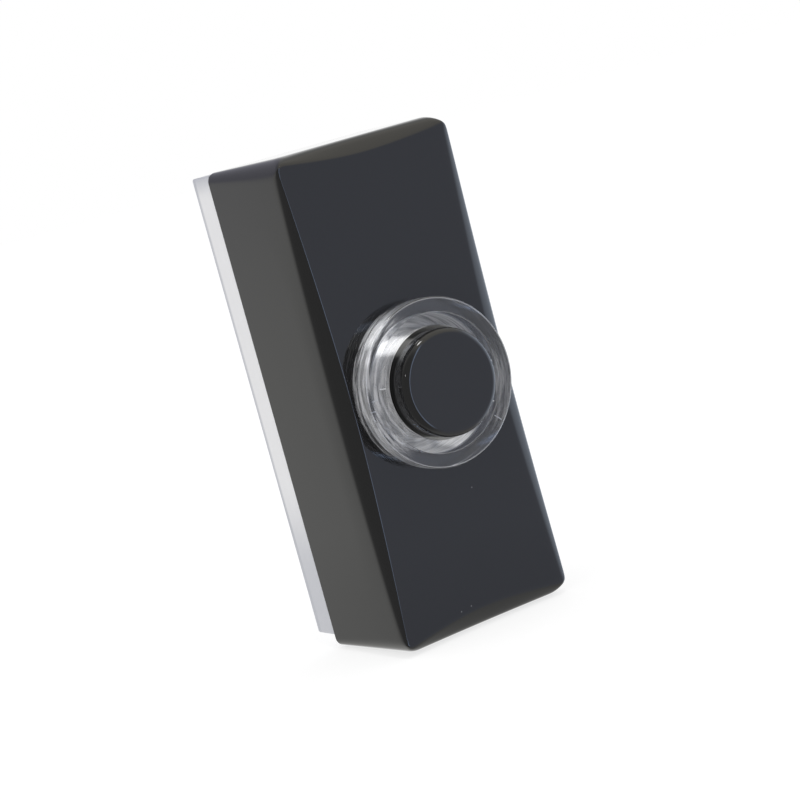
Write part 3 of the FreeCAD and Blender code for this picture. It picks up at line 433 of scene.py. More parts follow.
class CoverForm:
    """The outer form of the cover as a field: negative inside, zero on the surface. It is the
    drafted block, cut by a scallop along each side and each end of the face. In millimetres."""

    REACH = 4.0     # from the rim of the block to the core that the rays start from
    DEEP = 8.0      # of the face, over which rays find the surface
    FAR = 14.0      # length of a ray
    HALVINGS = 40   # of a ray, to find the surface on it
    ALONG = 84      # steps along a side, an end and round a corner
    ACROSS = 34
    CORNER = 14
    CORE_CORNER = 0.6
    OVERRUN = 0.5   # of the scallops past the face's edges
    STRAIGHT_DRAFT = 1.5   # degrees that a scallop's end keeps from the wall
    MITRE_SPAN = 1.2       # width over which side and end edges change over
    WALL_ROWS = (0.0, 0.02, 0.33, 0.66)
    WALL_RAYS = 10
    ARC_RAYS = (0, 0.08, 0.18, 0.3, 0.42, 0.54, 0.66, 0.77, 0.86, 0.92, 0.955, 0.975, 0.988, 0.996)
    FACE_RAYS = (0.0, 0.015, 0.035, 0.065, 0.1, 0.16, 0.25, 0.4, 0.65, 1.0, 1.4)

    def __init__(self, s):
        low, high = COVER
        self.half_width = (high.x - low.x) / 2 / MM
        self.half_height = (high.z - low.z) / 2 / MM
        self.rim = -high.y / MM
        self.face = -low.y / MM
        self.slope = math.tan(math.radians(s.cover_draft))
        self.corner = s.cover_corner
        self.widen = (s.front_corner - s.cover_corner) / (self.face - self.rim)
        shrink = (self.face - self.rim) * self.slope
        self.face_width = self.half_width - shrink
        self.face_height = self.half_height - shrink
        self.sides = ((s.right_middle, s.side_middle), (s.right_corner, s.side_corner))
        self.ends = (s.end_low, s.end_middle, s.end_right, s.end_corner)
        self.side_edge, self.end_edge, self.mitre = s.side_edges, s.end_edges, s.mitre_edge

    def corner_at(self, depth):
        return self.corner + self.widen * np.clip(depth - self.rim, 0, self.face - self.rim)

    @staticmethod
    def share(along, reach):
        """How far the scallop's section has gone from its middle shape to its corner shape."""
        t = np.clip(np.abs(along) / reach, 0, 1)
        return (3 * t ** 2 - t ** 3) / 2

    def side(self, x):
        """Shape of the scallop on the side that x is on."""
        middle, corner = (np.where(x > 0, *(shape[:, None] for shape in pair)) for pair in self.sides)
        return middle, corner, self.half_height + self.OVERRUN

    def end(self, x, z):
        """Shape of the scallop at the end that z is on, wider at its right corner."""
        low, middle, right, left = (shape[:, None] for shape in self.ends)
        return np.where(z < 0, low, middle), np.where(x > 0, right, left), self.half_width + self.OVERRUN

    def section(self, along, shape):
        """Inset on the face, drop on the wall and bulge of a scallop at a place along its edge."""
        middle, corner, reach = shape
        mix = self.share(along, reach)
        inset, drop, bulge = (m + (c - m) * mix for m, c in zip(middle, corner))
        lean = np.arctan(inset / drop) - math.radians(self.STRAIGHT_DRAFT)
        return inset, drop, np.minimum(bulge, np.hypot(inset, drop) / 2 * np.tan(lean / 2))

    def arc_of(self, inset, drop, bulge):
        """Centre and radius of the scallop's arc, and the directions to its two ends."""
        on_face = np.stack([inset, np.zeros_like(inset)])
        on_wall = np.stack([-drop * self.slope, drop])
        chord = on_wall - on_face
        length = np.hypot(*chord)
        outward = np.stack([-chord[1], chord[0]]) / length
        radius = (length ** 2 / 4 + bulge ** 2) / (2 * bulge)
        centre = (on_face + on_wall) / 2 - outward * (radius - bulge) * np.sign(-outward.sum(0))
        return centre, radius, (on_face - centre) / radius, (on_wall - centre) / radius

    def scallop(self, inset, drop, along, shape):
        """Signed distance to one scallop: an arc over the edge, with straight runs past its ends."""
        centre, radius, first, last = self.arc_of(*self.section(along, shape))
        v = np.stack([inset, drop]) - centre
        cross = lambda m, n: m[0] * n[1] - m[1] * n[0]
        turn = np.sign(cross(first, last))
        out = np.hypot(*v) - radius
        out = np.where(cross(v, last) * turn < 0, (v * last).sum(0) - radius, out)
        return np.where(cross(first, v) * turn < 0, (v * first).sum(0) - radius, out)

    @staticmethod
    def soft_max(a, b, k):
        """The greater of two fields, rounded over a width k."""
        h = np.clip(1 - np.abs(a - b) / k, 0, 1)
        return np.maximum(a, b) + h * h * k / 4

    def field(self, p):
        x, depth, z = np.abs(p[0]), p[1], np.abs(p[2])
        shrink = (depth - self.rim) * self.slope
        corner = self.corner_at(depth)
        qx = x - (self.half_width - shrink - corner)
        qz = z - (self.half_height - shrink - corner)
        wall = np.hypot(np.maximum(qx, 0), np.maximum(qz, 0)) + np.minimum(np.maximum(qx, qz), 0) - corner
        drop = self.face - depth
        side, end = self.side(p[0]), self.end(p[0], p[2])
        side_mix, end_mix = self.share(z, side[2]), self.share(x, end[2])
        soft = lambda edge, mix: edge[0] + (edge[1] - edge[0]) * mix
        sides = self.scallop(self.face_width - x, drop, z, side)
        ends = self.scallop(self.face_height - z, drop, x, end)
        body = self.soft_max(wall, sides, soft(self.side_edge[2:], side_mix))
        body = self.soft_max(body, ends, soft(self.end_edge[2:], end_mix) + self.mitre * side_mix ** 3)
        lean = np.clip(0.5 + (sides - ends) / self.MITRE_SPAN, 0, 1)
        crisp = soft(self.end_edge, end_mix) * (1 - lean) + soft(self.side_edge, side_mix) * lean
        return self.soft_max(body, -drop, crisp)

    def outline(self, half_width, half_height, radius):
        """Points round a rounded rectangle, the same number for any size, dense at the corners."""
        x, z = half_width - radius, half_height - radius
        arcs = []
        for number, (across, up) in enumerate(((x, z), (-x, z), (-x, -z), (x, -z))):
            turn = 90 * number
            arcs.append([(across + u, up + v) for u, v in arc((0, 0), radius, turn, turn + 90, self.CORNER)])
        points = []
        for number, count in enumerate((self.ACROSS, self.ALONG, self.ACROSS, self.ALONG)):
            points += arcs[number]
            (ax, az), (bx, bz) = arcs[number][-1], arcs[(number + 1) % 4][0]
            steps = [0.55 * k / count + 0.225 * (1 - math.cos(math.pi * k / count)) for k in range(1, count)]
            points += [(ax + (bx - ax) * t, az + (bz - az) * t) for t in steps]
        return np.array(points).T

    def outer_rows(self):
        """Rows of points from the rim up the wall, over the scallops and onto the face."""
        start = self.face - self.DEEP
        shrink = (start - self.rim) * self.slope
        core = self.outline(self.half_width - self.REACH, self.half_height - self.REACH, self.CORE_CORNER)
        rim = self.outline(self.half_width, self.half_height, self.corner)
        outer = self.outline(self.half_width - shrink, self.half_height - shrink, self.corner_at(start))
        flat = np.ones(rim.shape[1])
        rows = []
        for t in self.WALL_ROWS:
            across, up = rim + (outer - rim) * t
            rows.append(np.stack([across, flat * (self.rim + (start - self.rim) * t), up]))
        away = outer - core
        away = away / np.hypot(*away)
        base = np.stack([core[0], flat * start, core[1]])
        for angle in self.fan(core):
            ray = np.stack([away[0] * np.cos(angle), np.sin(angle), away[1] * np.cos(angle)])
            low, high = flat * 0, flat * self.FAR
            for _ in range(self.HALVINGS):
                middle = (low + high) / 2
                inside = self.field(base + ray * middle) < 0
                low, high = np.where(inside, middle, low), np.where(inside, high, middle)
            rows.append(base + ray * low)
        return rows

    def fan(self, core):
        """Angles of the rays at each place round the outline. They aim at points up the wall, over
        the scallop and across the face, and crowd at the crisp edge between the last two."""
        x, z = np.abs(core[0]), np.abs(core[1])
        end_start = self.half_height - self.REACH - self.CORE_CORNER
        towards_end = np.clip((z - end_start) / self.CORE_CORNER, 0, 1)
        side, end = self.section(z, self.side(core[0])), self.section(x, self.end(*core))
        mixed = [s + (e - s) * towards_end for s, e in zip(side, end)]
        inset, drop, _ = mixed
        centre, radius, first, last = self.arc_of(*mixed)
        targets = [(-self.slope * drop, self.DEEP + (drop - self.DEEP) * t)
                   for t in np.linspace(0, 1, self.WALL_RAYS)[:-1]]
        for t in self.ARC_RAYS:
            spot = last + (first - last) * t
            targets.append(tuple(centre + spot / np.hypot(*spot) * radius))
        targets += [(inset + step, 0.0) for step in self.FACE_RAYS]
        return [np.arctan2(self.DEEP - down, self.REACH - across) for across, down in targets]


def length_property(name, description, *mm):
    """A length in millimetres, or a few of them in a row."""
    lengths = [length * MM for length in mm]
    settings = {"name": name, "description": description, "unit": "LENGTH", "precision": 5}
    if len(mm) == 1:
        return FloatProperty(default=lengths[0], **settings)
    return FloatVectorProperty(default=lengths, size=len(mm), **settings)


def colour_property(name, description, hex_colour):
    return FloatVectorProperty(name=name, description=description, subtype="COLOR", size=4, min=0.0, max=1.0,
                               default=linear(hex_colour))


MIDDLE = "Inset, drop and bulge at mid length"
CORNERS = "Inset, drop and bulge at the corners"
SOFTNESS = "Softness at the face, middle and corner, and at the wall, likewise"


class DoorbellSizes(bpy.types.PropertyGroup):
    cover_draft: FloatProperty(name="Cover draft", description="Draft of its walls, in degrees", default=0.2)
    cover_corner: length_property("Cover corners", "Radius of the corners along the depth", 1.6)
    front_corner: length_property("Front corners", "The same radius at the front", 3.3)
    cover_wall: length_property("Cover wall", "Thickness of the side walls", 2.0)
    front_wall: length_property("Front wall", "Thickness of the front wall", 2.4)
    side_middle: length_property("Left scallop, middle", MIDDLE, 2.2, 2.7, 0.5)
    side_corner: length_property("Left scallop, corners", CORNERS, 0.1, 1.55, 0.04)
    right_middle: length_property("Right scallop, middle", MIDDLE, 2.9, 1.25, 0.2)
    right_corner: length_property("Right scallop, corners", CORNERS, 0.95, 0.5, 0.05)
    end_middle: length_property("Upper end scallop, middle", MIDDLE, 2.65, 2.0, 0.14)
    end_low: length_property("Lower end scallop, middle", MIDDLE, 3.3, 2.0, 0.14)
    end_right: length_property("End scallops, right corners", CORNERS, 1.5, 1.5, 0.14)
    end_corner: length_property("End scallops, left corners", CORNERS, 0.8, 1.5, 0.08)
    side_edges: length_property("Side edges", SOFTNESS, 0.06, 0.3, 0.5, 0.2)
    end_edges: length_property("End edges", SOFTNESS, 0.2, 0.45, 0.15, 0.15)
    mitre_edge: length_property("Mitre", "Softness where side and end scallops meet", 0.7)
    aperture: length_property("Aperture", "Radius of the hole in the cover", 11.2)
    well: length_property("Light well", "Inner radius of the ring behind the front wall", 13.1)
    well_wall: length_property("Light well wall", "Thickness of that ring", 0.8)
    well_height: length_property("Light well height", "Height of that ring", 4.0)
    plate_solid_corner: length_property("Plate solid corners", "Corner radius of the plate's solid", 1.35)
    plate_corner: length_property("Plate corners", "Corner radius of the wall plate", 0.4)
    collar_radius: length_property("Collar", "Outer radius of the collar", 13.4)
    collar_land: length_property("Collar step", "Radius of the step on the collar", 11.1)
    collar_step: length_property("Collar step height", "Height of that step", 0.3)
    collar_edge: length_property("Collar edge", "Radius of the collar's outer edge", 0.3)
    tube_radius: length_property("Light tube", "Outer radius of the light tube", 11.0)
    bore: length_property("Light tube bore", "Radius of the bore that guides the button", 8.85)
    button_radius: length_property("Button", "Radius of the button", 8.5)
    button_edge: length_property("Button edge", "Radius of the button's rounded edge", 1.2)
    button_dish: length_property("Button dish", "How far the button's top sinks to its middle", 0.12)
    spring_wire: length_property("Spring wire", "Radius of the spring's wire", 0.25)
    spring_turns: FloatProperty(name="Spring turns", description="Turns of the spring", default=5.0)
    round_steps: IntProperty(name="Round steps", description="Segments of turned pieces", default=192, min=24)


class DoorbellColours(bpy.types.PropertyGroup):
    cover: colour_property("Cover", "Colour of the cover", "#131314")
    button: colour_property("Button", "Colour of the button", "#131314")
    collar: colour_property("Collar", "Tint of the clear collar", "#dfe2e8")
    plate: colour_property("Plate", "Colour of the milky wall plate", "#fbfbfd")
    glow: colour_property("Light", "Colour of the light in the collar", "#f4f4f2")
    glow_strength: FloatProperty(name="Light strength", description="Strength of that light", default=0.06)
    floor: colour_property("Floor", "Colour of the floor", "#a0a0a0")


def sizes():
    """The panel's sizes, with the lengths in millimetres."""
    group = bpy.context.scene.doorbell_sizes
    values = {}
    for name in group.__annotations__:
        value, rna = getattr(group, name), group.bl_rna.properties[name]
        if rna.unit == "LENGTH":
            value = np.array(tuple(value)) / MM if rna.is_array else value / MM
        values[name] = value
    return SimpleNamespace(**values)


def colours():
    return bpy.context.scene.doorbell_colours


class DOORBELL_OT_cover(bpy.types.Operator):
    """Cover: gloss black shell with scalloped front edges, hollow behind, with its light well"""
    bl_idname = "doorbell.cover"
    bl_label = "Cover"

    HOLE_EDGE = 0.12      # radius of the aperture's edge, in millimetres
    HOLLOW_CORNER = 0.5   # radius of the hollow's corners
    SINK = 0.2            # of the light well's ring into the front wall
    WELL_STEPS = 96

    def execute(self, context):
        s = sizes()
        form = CoverForm(s)
        rows = form.outer_rows()
        face_row = rows[-1]
        angle = np.arctan2(face_row[2], face_row[0])
        flat = np.ones(angle.shape)
        ring = lambda radius, depth: np.stack([radius * np.cos(angle), flat * depth, radius * np.sin(angle)])
        hole, edge, roof = s.aperture, self.HOLE_EDGE, form.face - s.front_wall
        mouth = ring(hole + edge, form.face)
        rows += [face_row + (mouth - face_row) * t for t in (0.3, 0.65, 0.95)]
        rows += [ring(*place) for place in arc((hole + edge, form.face - edge), edge, 90, 180, 4)]
        rows.append(ring(hole, roof))
        wall = s.cover_wall
        inner = form.outline(form.half_width - wall, form.half_height - wall, self.HOLLOW_CORNER)
        rows += [np.stack([inner[0], flat * depth, inner[1]]) for depth in (roof, form.rim)]
        count = len(angle)
        points = [tuple(row[:, k]) for row in rows for k in range(count)]
        faces = grid_faces(len(rows), count, True, True)
        low, high, top, bottom = s.well, s.well + s.well_wall, roof + self.SINK, roof - s.well_height
        more, ring_faces = turned([(low, top), (low, bottom), (high, bottom), (high, top)], self.WELL_STEPS,
                                  start=len(points))
        gloss = black_gloss_abs("black_gloss_abs_moulded", colours().cover, 0.16)
        new_piece("cover_moulding", points + more, faces + ring_faces, [gloss], "housing", "cover",
                  30.0)
        return {"FINISHED"}


class DOORBELL_OT_plate(bpy.types.Operator):
    """Wall plate: milky tray with squarer corners than its solid"""
    bl_idname = "doorbell.plate"
    bl_label = "Wall plate"

    NEAR = 1e-6   # metres within which a place counts as on a plane

    def execute(self, context):
        s = sizes()
        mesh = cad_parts["back_plate"].data.copy()
        mesh.name = "wall_plate"
        # Its outline on the wall, because the snap ridges reach past it
        back = [vertex.co for vertex in mesh.vertices if abs(vertex.co.y) < self.NEAR]
        low = Vector([min(place[axis] for place in back) for axis in range(3)])
        high = Vector([max(place[axis] for place in back) for axis in range(3)])
        middle, half = (low + high) / 2, (high - low) / 2
        wide, tight = s.plate_solid_corner * MM, s.plate_corner * MM
        for vertex in mesh.vertices:
            x, z = vertex.co.x - middle.x, vertex.co.z - middle.z
            across, up = abs(x) - (half.x - wide), abs(z) - (half.z - wide)
            if across < -self.NEAR or up < -self.NEAR or math.hypot(across, up) < wide * 0.9:
                continue
            turn = math.atan2(max(up, 0), max(across, 0))
            vertex.co.x = middle.x + math.copysign(half.x - tight + tight * math.cos(turn), x)
            vertex.co.z = middle.z + math.copysign(half.z - tight + tight * math.sin(turn), z)
        mesh.materials.clear()
        mesh.materials.append(milky_wall_plate("milky_polycarbonate_moulded", colours().plate))
        mesh.update()
        mesh.set_sharp_from_angle(angle=math.radians(35))
        piece = bpy.data.objects.new("wall_plate", mesh)
        context.scene.collection.objects.link(piece)
        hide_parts("back_plate")
        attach(piece, "housing")
        return {"FINISHED"}


class DOORBELL_OT_collar(bpy.types.Operator):
    """Collar: clear ring on the face, with the light tube that guides the button and two lugs"""
    bl_idname = "doorbell.collar"
    bl_label = "Clear collar"

    # In millimetres
    SEAT = 0.03         # of the collar in the cover's face, so that no gap shows
    FINE_EDGE = 0.08    # radius of the step's edge, and bevel at the seat
    BORE_EDGE = 0.2     # radius of the edge of the bore
    UNLIT = 0.3         # top of the tube's outside, which stays clear
    LUG_REACH = 0.9     # of the two lugs behind the front wall, and their other sizes
    LUG_SINK = 0.3
    LUG_GAP = 0.05
    LUG_FOOT = 0.4
    LUG_DEEP = 1.6
    LUG_HALF = 13       # degrees
    MARK_HALF = 0.07    # half width of a tool mark, and its top and bottom
    MARK_TOP = 0.03
    MARK_BOTTOM = 0.15
    # Short radial tool marks: place round the ring in degrees, inner and outer radius, and depth
    # of the surface that they lie on, in millimetres.
    MARKS = ((3.0, 9.3, 10.4, 32.0), (169.0, 9.6, 10.7, 32.0), (327.0, 9.4, 10.5, 32.0),
             (177.0, 11.4, 12.5, 32.25), (184.0, 12.3, 13.0, 32.25), (316.0, 11.3, 12.7, 32.25))

    def execute(self, context):
        s = sizes()
        top, end, face = -COLLAR[0].y / MM, -COLLAR[1].y / MM, -COVER[0].y / MM
        outer, edge, tube, bore = s.collar_radius, s.collar_edge, s.tube_radius, s.bore
        fine, round_in, land, step = self.FINE_EDGE, self.BORE_EDGE, s.collar_land, top - s.collar_step
        seat = face - self.SEAT
        profile = arc((outer - edge, top - edge), edge, 0, 90, 8)
        profile += [*arc((land + fine, top - fine), fine, 90, 180, 3), (land, step)]
        lit_from = len(profile)
        profile += arc((bore + round_in, step - round_in), round_in, 90, 180, 4)
        profile += [(bore, face), (bore, end), (tube, end), (tube, face - self.UNLIT), (tube, seat)]
        lit_to = len(profile) - 2
        profile += [(outer - fine, seat), (outer, seat + fine)]
        points, faces = turned(profile, s.round_steps, lambda row: 1 if lit_from <= row < lit_to else 0)
        front = face - s.front_wall - self.LUG_GAP
        back, foot = front - self.LUG_DEEP, front - self.LUG_FOOT
        root, tip = tube - self.LUG_SINK, tube + self.LUG_REACH
        for middle in (0.0, 180.0):
            add_lug(points, faces, [(root, front), (root, back), (tube, back), (tip, foot), (tip, front)], 12,
                    middle, self.LUG_HALF)
        for middle, low, high, level in self.MARKS:
            above, below = level + self.MARK_TOP, level - self.MARK_BOTTOM
            add_lug(points, faces, [(low, below), (low, above), (high, above), (high, below)], 2, middle,
                    math.degrees(self.MARK_HALF / low), 2)
        materials = [clear_collar_acrylic("clear_acrylic_polished", colours().collar),
                     lit_light_guide("lit_acrylic_matt", colours().glow, colours().glow_strength),
                     frosted_mark("acrylic_tool_mark")]
        new_piece("clear_collar", points, faces, materials, "housing", "lens_ring")
        return {"FINISHED"}


class DOORBELL_OT_button(bpy.types.Operator):
    """Button: gloss black cap with a rounded edge, skirt, stem, ribs and stop lugs"""
    bl_idname = "doorbell.button"
    bl_label = "Button"

    # In millimetres
    AXIS = 0.001        # radius that stands for the axis
    DISH_ROWS = 9
    WALL = 1.5          # of the skirt
    ROOF = 1.8          # thickness of the top
    STEM = 1.6          # radius of the stem
    BEVEL = 0.1         # at the ends of the skirt and the stem
    STOP_GAP = 0.1      # from the light tube to the stop lugs, and their sizes
    STOP_DEEP = 1.2
    STOP_HALF = 3.5
    SINK = 0.5          # of the stop lugs into the skirt
    RIB_HALF = 0.6      # half thickness of the crossed ribs, and where they end
    RIB_SINK = 0.3
    RIB_END = 22.42

    def execute(self, context):
        s = sizes()
        top, stem_end, reach = -BUTTON[0].y / MM, -BUTTON[1].y / MM, BUTTON[1].x / MM
        radius, edge, dish, bevel = s.button_radius, s.button_edge, s.button_dish, self.BEVEL
        skirt = -COLLAR[1].y / MM - self.STOP_GAP - self.STOP_DEEP
        inside, roof, stem, flat = radius - self.WALL, top - self.ROOF, self.STEM, radius - edge
        profile = [(self.AXIS, top - dish)]
        for k in range(1, self.DISH_ROWS):
            t = k / self.DISH_ROWS
            profile.append((flat * t * 0.98, top - dish * (1 - t * t)))
        profile += arc((flat, top - edge), edge, 88, 0, 12)
        profile += [(radius, top - edge - 0.4), (radius, skirt + bevel), (radius - bevel, skirt),
                    (inside, skirt), (inside, roof), (stem, roof), (stem, stem_end + bevel),
                    (stem - bevel, stem_end), (self.AXIS, stem_end)]
        points, faces = turned(profile, s.round_steps)
        long, thin = inside + self.RIB_SINK, self.RIB_HALF
        for half_x, half_z in ((long, thin), (thin, long)):
            faces += box_faces(len(points))
            points += [(x, depth, z) for depth in (self.RIB_END, roof + self.RIB_SINK) for x, z in
                       ((-half_x, -half_z), (half_x, -half_z), (half_x, half_z), (-half_x, half_z))]
        root, front = radius - self.SINK, skirt + self.STOP_DEEP
        for middle in (0.0, 180.0):
            add_lug(points, faces, [(root, skirt), (reach, skirt), (reach, front), (root, front)], 12, middle,
                    math.degrees(math.asin(self.STOP_HALF / reach)))
        gloss = black_gloss_abs("black_button_abs_moulded", colours().button, 0.05)
        new_piece("button_cap", points, faces, [gloss], "button", "push_button")
        return {"FINISHED"}


class DOORBELL_OT_spring(bpy.types.Operator):
    """Return spring: round wire coil between the carrier and the button"""
    bl_idname = "doorbell.spring"
    bl_label = "Return spring"

    TURN_STEPS = 48
    WIRE_SIDES = 12
    TRAVEL = 1.8   # of the button, in millimetres

    def execute(self, context):
        s = sizes()
        wire, turns, sides = s.spring_wire, s.spring_turns, self.WIRE_SIDES
        low, high, coil = -SPRING[1].y / MM + wire, -SPRING[0].y / MM - wire, SPRING[1].x / MM - wire
        steps, points = int(turns * self.TURN_STEPS), []
        for k in range(steps + 1):
            t = k / steps
            a = 2 * math.pi * turns * t
            centre = Vector((coil * math.cos(a), low + (high - low) * t, coil * math.sin(a)))
            out = Vector((math.cos(a), 0, math.sin(a)))
            rise = (high - low) / (2 * math.pi * turns)
            side = out.cross(Vector((-math.sin(a) * coil, rise, math.cos(a) * coil)).normalized())
            for m in range(sides):
                b = 2 * math.pi * m / sides
                points.append(tuple(centre + out * wire * math.cos(b) + side * wire * math.sin(b)))
        faces = grid_faces(steps + 1, sides, False, True)
        faces += [(tuple(range(sides)), 0), (tuple(range(steps * sides, (steps + 1) * sides))[::-1], 0)]
        steel = metal("spring_steel_drawn", "#6b6a69", "#b4b3b1", 0.28, 0.5)
        piece = new_piece("return_spring_coil", points, faces, [steel], "housing", "return_spring",
                          60.0)
        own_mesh(piece)
        return {"FINISHED"}


# Rolled bronze: dark and light tone, roughness, size of the marks in millimetres, and their stretch
BRONZE = ("#a4693e", "#cf9562", 0.3, 0.5, (6, 1, 1))


class DOORBELL_OT_tongue(bpy.types.Operator):
    """Moving contact: bronze strip whose tongue bends back under the stem of the button"""
    bl_idname = "doorbell.tongue"
    bl_label = "Moving contact"

    ROOT = -13.0 * MM   # height from which the strip is cut across into slices, so that it can bend
    SLICES = 28

    def execute(self, context):
        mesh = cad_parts["moving_contact"].data.copy()
        mesh.name = "contact_tongue"
        work = bmesh.new()
        work.from_mesh(mesh)
        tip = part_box("moving_contact")[1].z
        for k in range(1, self.SLICES):
            cut = self.ROOT + (tip - self.ROOT) * k / self.SLICES
            bmesh.ops.bisect_plane(work, geom=[*work.verts, *work.edges, *work.faces], plane_co=(0, 0, cut),
                                   plane_no=(0, 0, 1))
        work.to_mesh(mesh)
        work.free()
        mesh.materials.clear()
        mesh.materials.append(metal("bronze_strip_sprung", *BRONZE))
        piece = bpy.data.objects.new("contact_tongue", mesh)
        context.scene.collection.objects.link(piece)
        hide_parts("moving_contact")
        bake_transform(piece)
        return {"FINISHED"}


class DOORBELL_OT_fittings(bpy.types.Operator):
    """Inner pieces: finishes for the carrier, contacts, terminals, lamp and wires"""
    bl_idname = "doorbell.fittings"
    bl_label = "Inner pieces"

    # Height of each painted ring in millimetres, and its colour
    RINGS = ((1.0, "#7a3b12"), (2.2, "#1c1c1c"), (3.4, "#b3261e"), (5.3, "#b08d3a"))

    def execute(self, context):
        zinc = metal("zinc_plated_steel", "#8d9096", "#c6c9cc", 0.3, 0.8)
        brass = metal("brass_turned", "#a07a35", "#cda75a", 0.25, 0.4, (1, 6, 1))
        tin = metal("copper_wire_tinned", "#9b9b9b", "#d4d4d2", 0.3, 0.6)
        finishes = {
            "switch_carrier": satin_moulded_abs("white_abs_moulded"),
            "led_lamp": clear_lamp_epoxy("epoxy_lamp_cast"),
            "resistor_body": banded_lacquer("resistor_lacquer_dipped", "#c2a878", self.RINGS),
            "fixed_contact": metal("bronze_strip_rolled", *BRONZE),
            "led_lead_left": tin, "led_lead_right": tin,
            "resistor_lead_upper": tin, "resistor_lead_lower": tin,
            "carrier_screw_lower": zinc, "carrier_screw_upper": zinc,
            "terminal_screw_left": zinc, "terminal_screw_right": zinc,
            "clamp_washer_left": zinc, "clamp_washer_right": zinc,
            "terminal_insert_left": brass, "terminal_insert_right": brass,
        }
        for name, made in finishes.items():
            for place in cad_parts[name].material_slots:
                place.material = made
        return {"FINISHED"}


# The photograph's view: camera place in millimetres, its line of sight and its up direction.
# The focal length is in pixels of an image FRAME_PX wide.
CAMERA_PLACE = (-174.6, -325.4, 46.3)
CAMERA_AHEAD = (0.4901, 0.8608, -0.1374)
CAMERA_UP = (0.2933, -0.0144, 0.9559)
FOCAL_PX = 2220.8
FRAME_PX = 800
SENSOR_MM = 36


class DOORBELL_OT_stage(bpy.types.Operator):
    """Stage: pale floor, soft lamps, white surroundings and the camera"""
    bl_idname = "doorbell.stage"
    bl_label = "Stage"

    FLOOR_HALF = 3.0
    FLOOR_GAP = 0.0002   # below the part

    def execute(self, context):
        scene = context.scene
        scene.view_settings.view_transform = "Standard"
        self.make_floor()
        self.make_world(scene)
        self.make_lamp("key_softbox", (-0.04, -0.42, 1.15), 0.2, 2.0)
        self.make_lamp("side_lamp", (-0.95, -0.63, 0.52), 0.06, 0.25)
        data = bpy.data.cameras.new("view")
        data.sensor_width = SENSOR_MM
        data.lens = FOCAL_PX * SENSOR_MM / FRAME_PX
        data.clip_start = 0.01
        camera = bpy.data.objects.new("view", data)
        scene.collection.objects.link(camera)
        back = -Vector(CAMERA_AHEAD).normalized()
        up = Vector(CAMERA_UP)
        up = (up - back * up.dot(back)).normalized()
        turn = Matrix((up.cross(back), up, back)).transposed().to_4x4()
        camera.matrix_world = Matrix.Translation(Vector(CAMERA_PLACE) * MM) @ turn
        scene.camera = camera
        return {"FINISHED"}

    def make_floor(self):
        """Pale paper that keeps the part's shadow. Gloss and clear plastic look through it, and
        it dims them a little close to the part, as painted shade."""
        half, height = self.FLOOR_HALF, CAD_BOX[0][2] - self.FLOOR_GAP
        mesh = bpy.data.meshes.new("floor")
        corners = [(x, y, height) for x, y in ((-half, -half), (half, -half), (half, half), (-half, half))]
        mesh.from_pydata(corners, [], [(0, 1, 2, 3)])
        floor = bpy.data.objects.new("floor", mesh)
        bpy.context.scene.collection.objects.link(floor)
        made, tree = new_material("floor_paper")
        tone = add_node(tree, "Mix", [("Factor", object_noise(tree, 40.0))], data_type="RGBA",
                        i6=colours().floor, i7=linear("#a8a8a8"))
        matt = add_node(tree, "BsdfDiffuse", [("Color", tone)])
        white = add_node(tree, "Emission", Strength=0.74)
        lit = add_node(tree, "AddShader", [(0, matt), (1, white)])
        place = add_node(tree, "NewGeometry").outputs["Position"]
        far = add_node(tree, "VectorMath", [(0, place)], operation="LENGTH")
        # Painted shade on what gloss and glass see through the floor near the part
        painted_shade_near = add_node(tree, "MapRange", [("Value", far)], From_Min=45 * MM, From_Max=110 * MM, To_Min=0.9,
                        To_Max=1.0)
        through = add_node(tree, "BsdfTransparent", [("Color", painted_shade_near)])
        rays = add_node(tree, "LightPath").outputs
        other = add_node(tree, "Math", [(0, rays["Is Glossy Ray"]), (1, rays["Is Transmission Ray"])],
                         operation="MAXIMUM")
        both = add_node(tree, "MixShader", [("Fac", other), (1, lit), (2, through)])
        add_node(tree, "OutputMaterial", [("Surface", both)])
        mesh.materials.append(made)

    def make_world(self, scene):
        """White surroundings, with the dark room behind the photographer to the left of the
        part, and the bright edge of the tent beside it."""
        world = bpy.data.worlds.new("studio")
        scene.world = world
        world.use_nodes = True
        tree = world.node_tree
        tree.nodes.clear()
        look = add_node(tree, "TexCoord").outputs["Generated"]
        soft = add_node(tree, "Background", Color=linear("#ffffff"), Strength=0.75)
        seen = add_node(tree, "Background", [("Color", surroundings(tree, look))], Strength=1.0)
        white = add_node(tree, "Background", Color=linear("#ffffff"), Strength=1.0)
        gloss = add_node(tree, "MixShader", [("Fac", background_rays(tree)), (1, soft), (2, seen)])
        camera = add_node(tree, "LightPath").outputs["Is Camera Ray"]
        mix = add_node(tree, "MixShader", [("Fac", camera), (1, gloss), (2, white)])
        add_node(tree, "OutputWorld", [("Surface", mix)])

    def make_lamp(self, name, place, size, power):
        data = bpy.data.lights.new(name, "AREA")
        data.shape = "DISK"
        data.size = size
        data.energy = power
        lamp = bpy.data.objects.new(name, data)
        bpy.context.scene.collection.objects.link(lamp)
        lamp.location = place
        lamp.rotation_euler = (-Vector(place)).to_track_quat("-Z", "Y").to_euler()


def towards(tree, look, centre, low, high):
    """0 away from a direction and 1 round it, soft between two cosines."""
    return lobe(tree, look, Vector(centre).normalized(), low, high, 1.0)


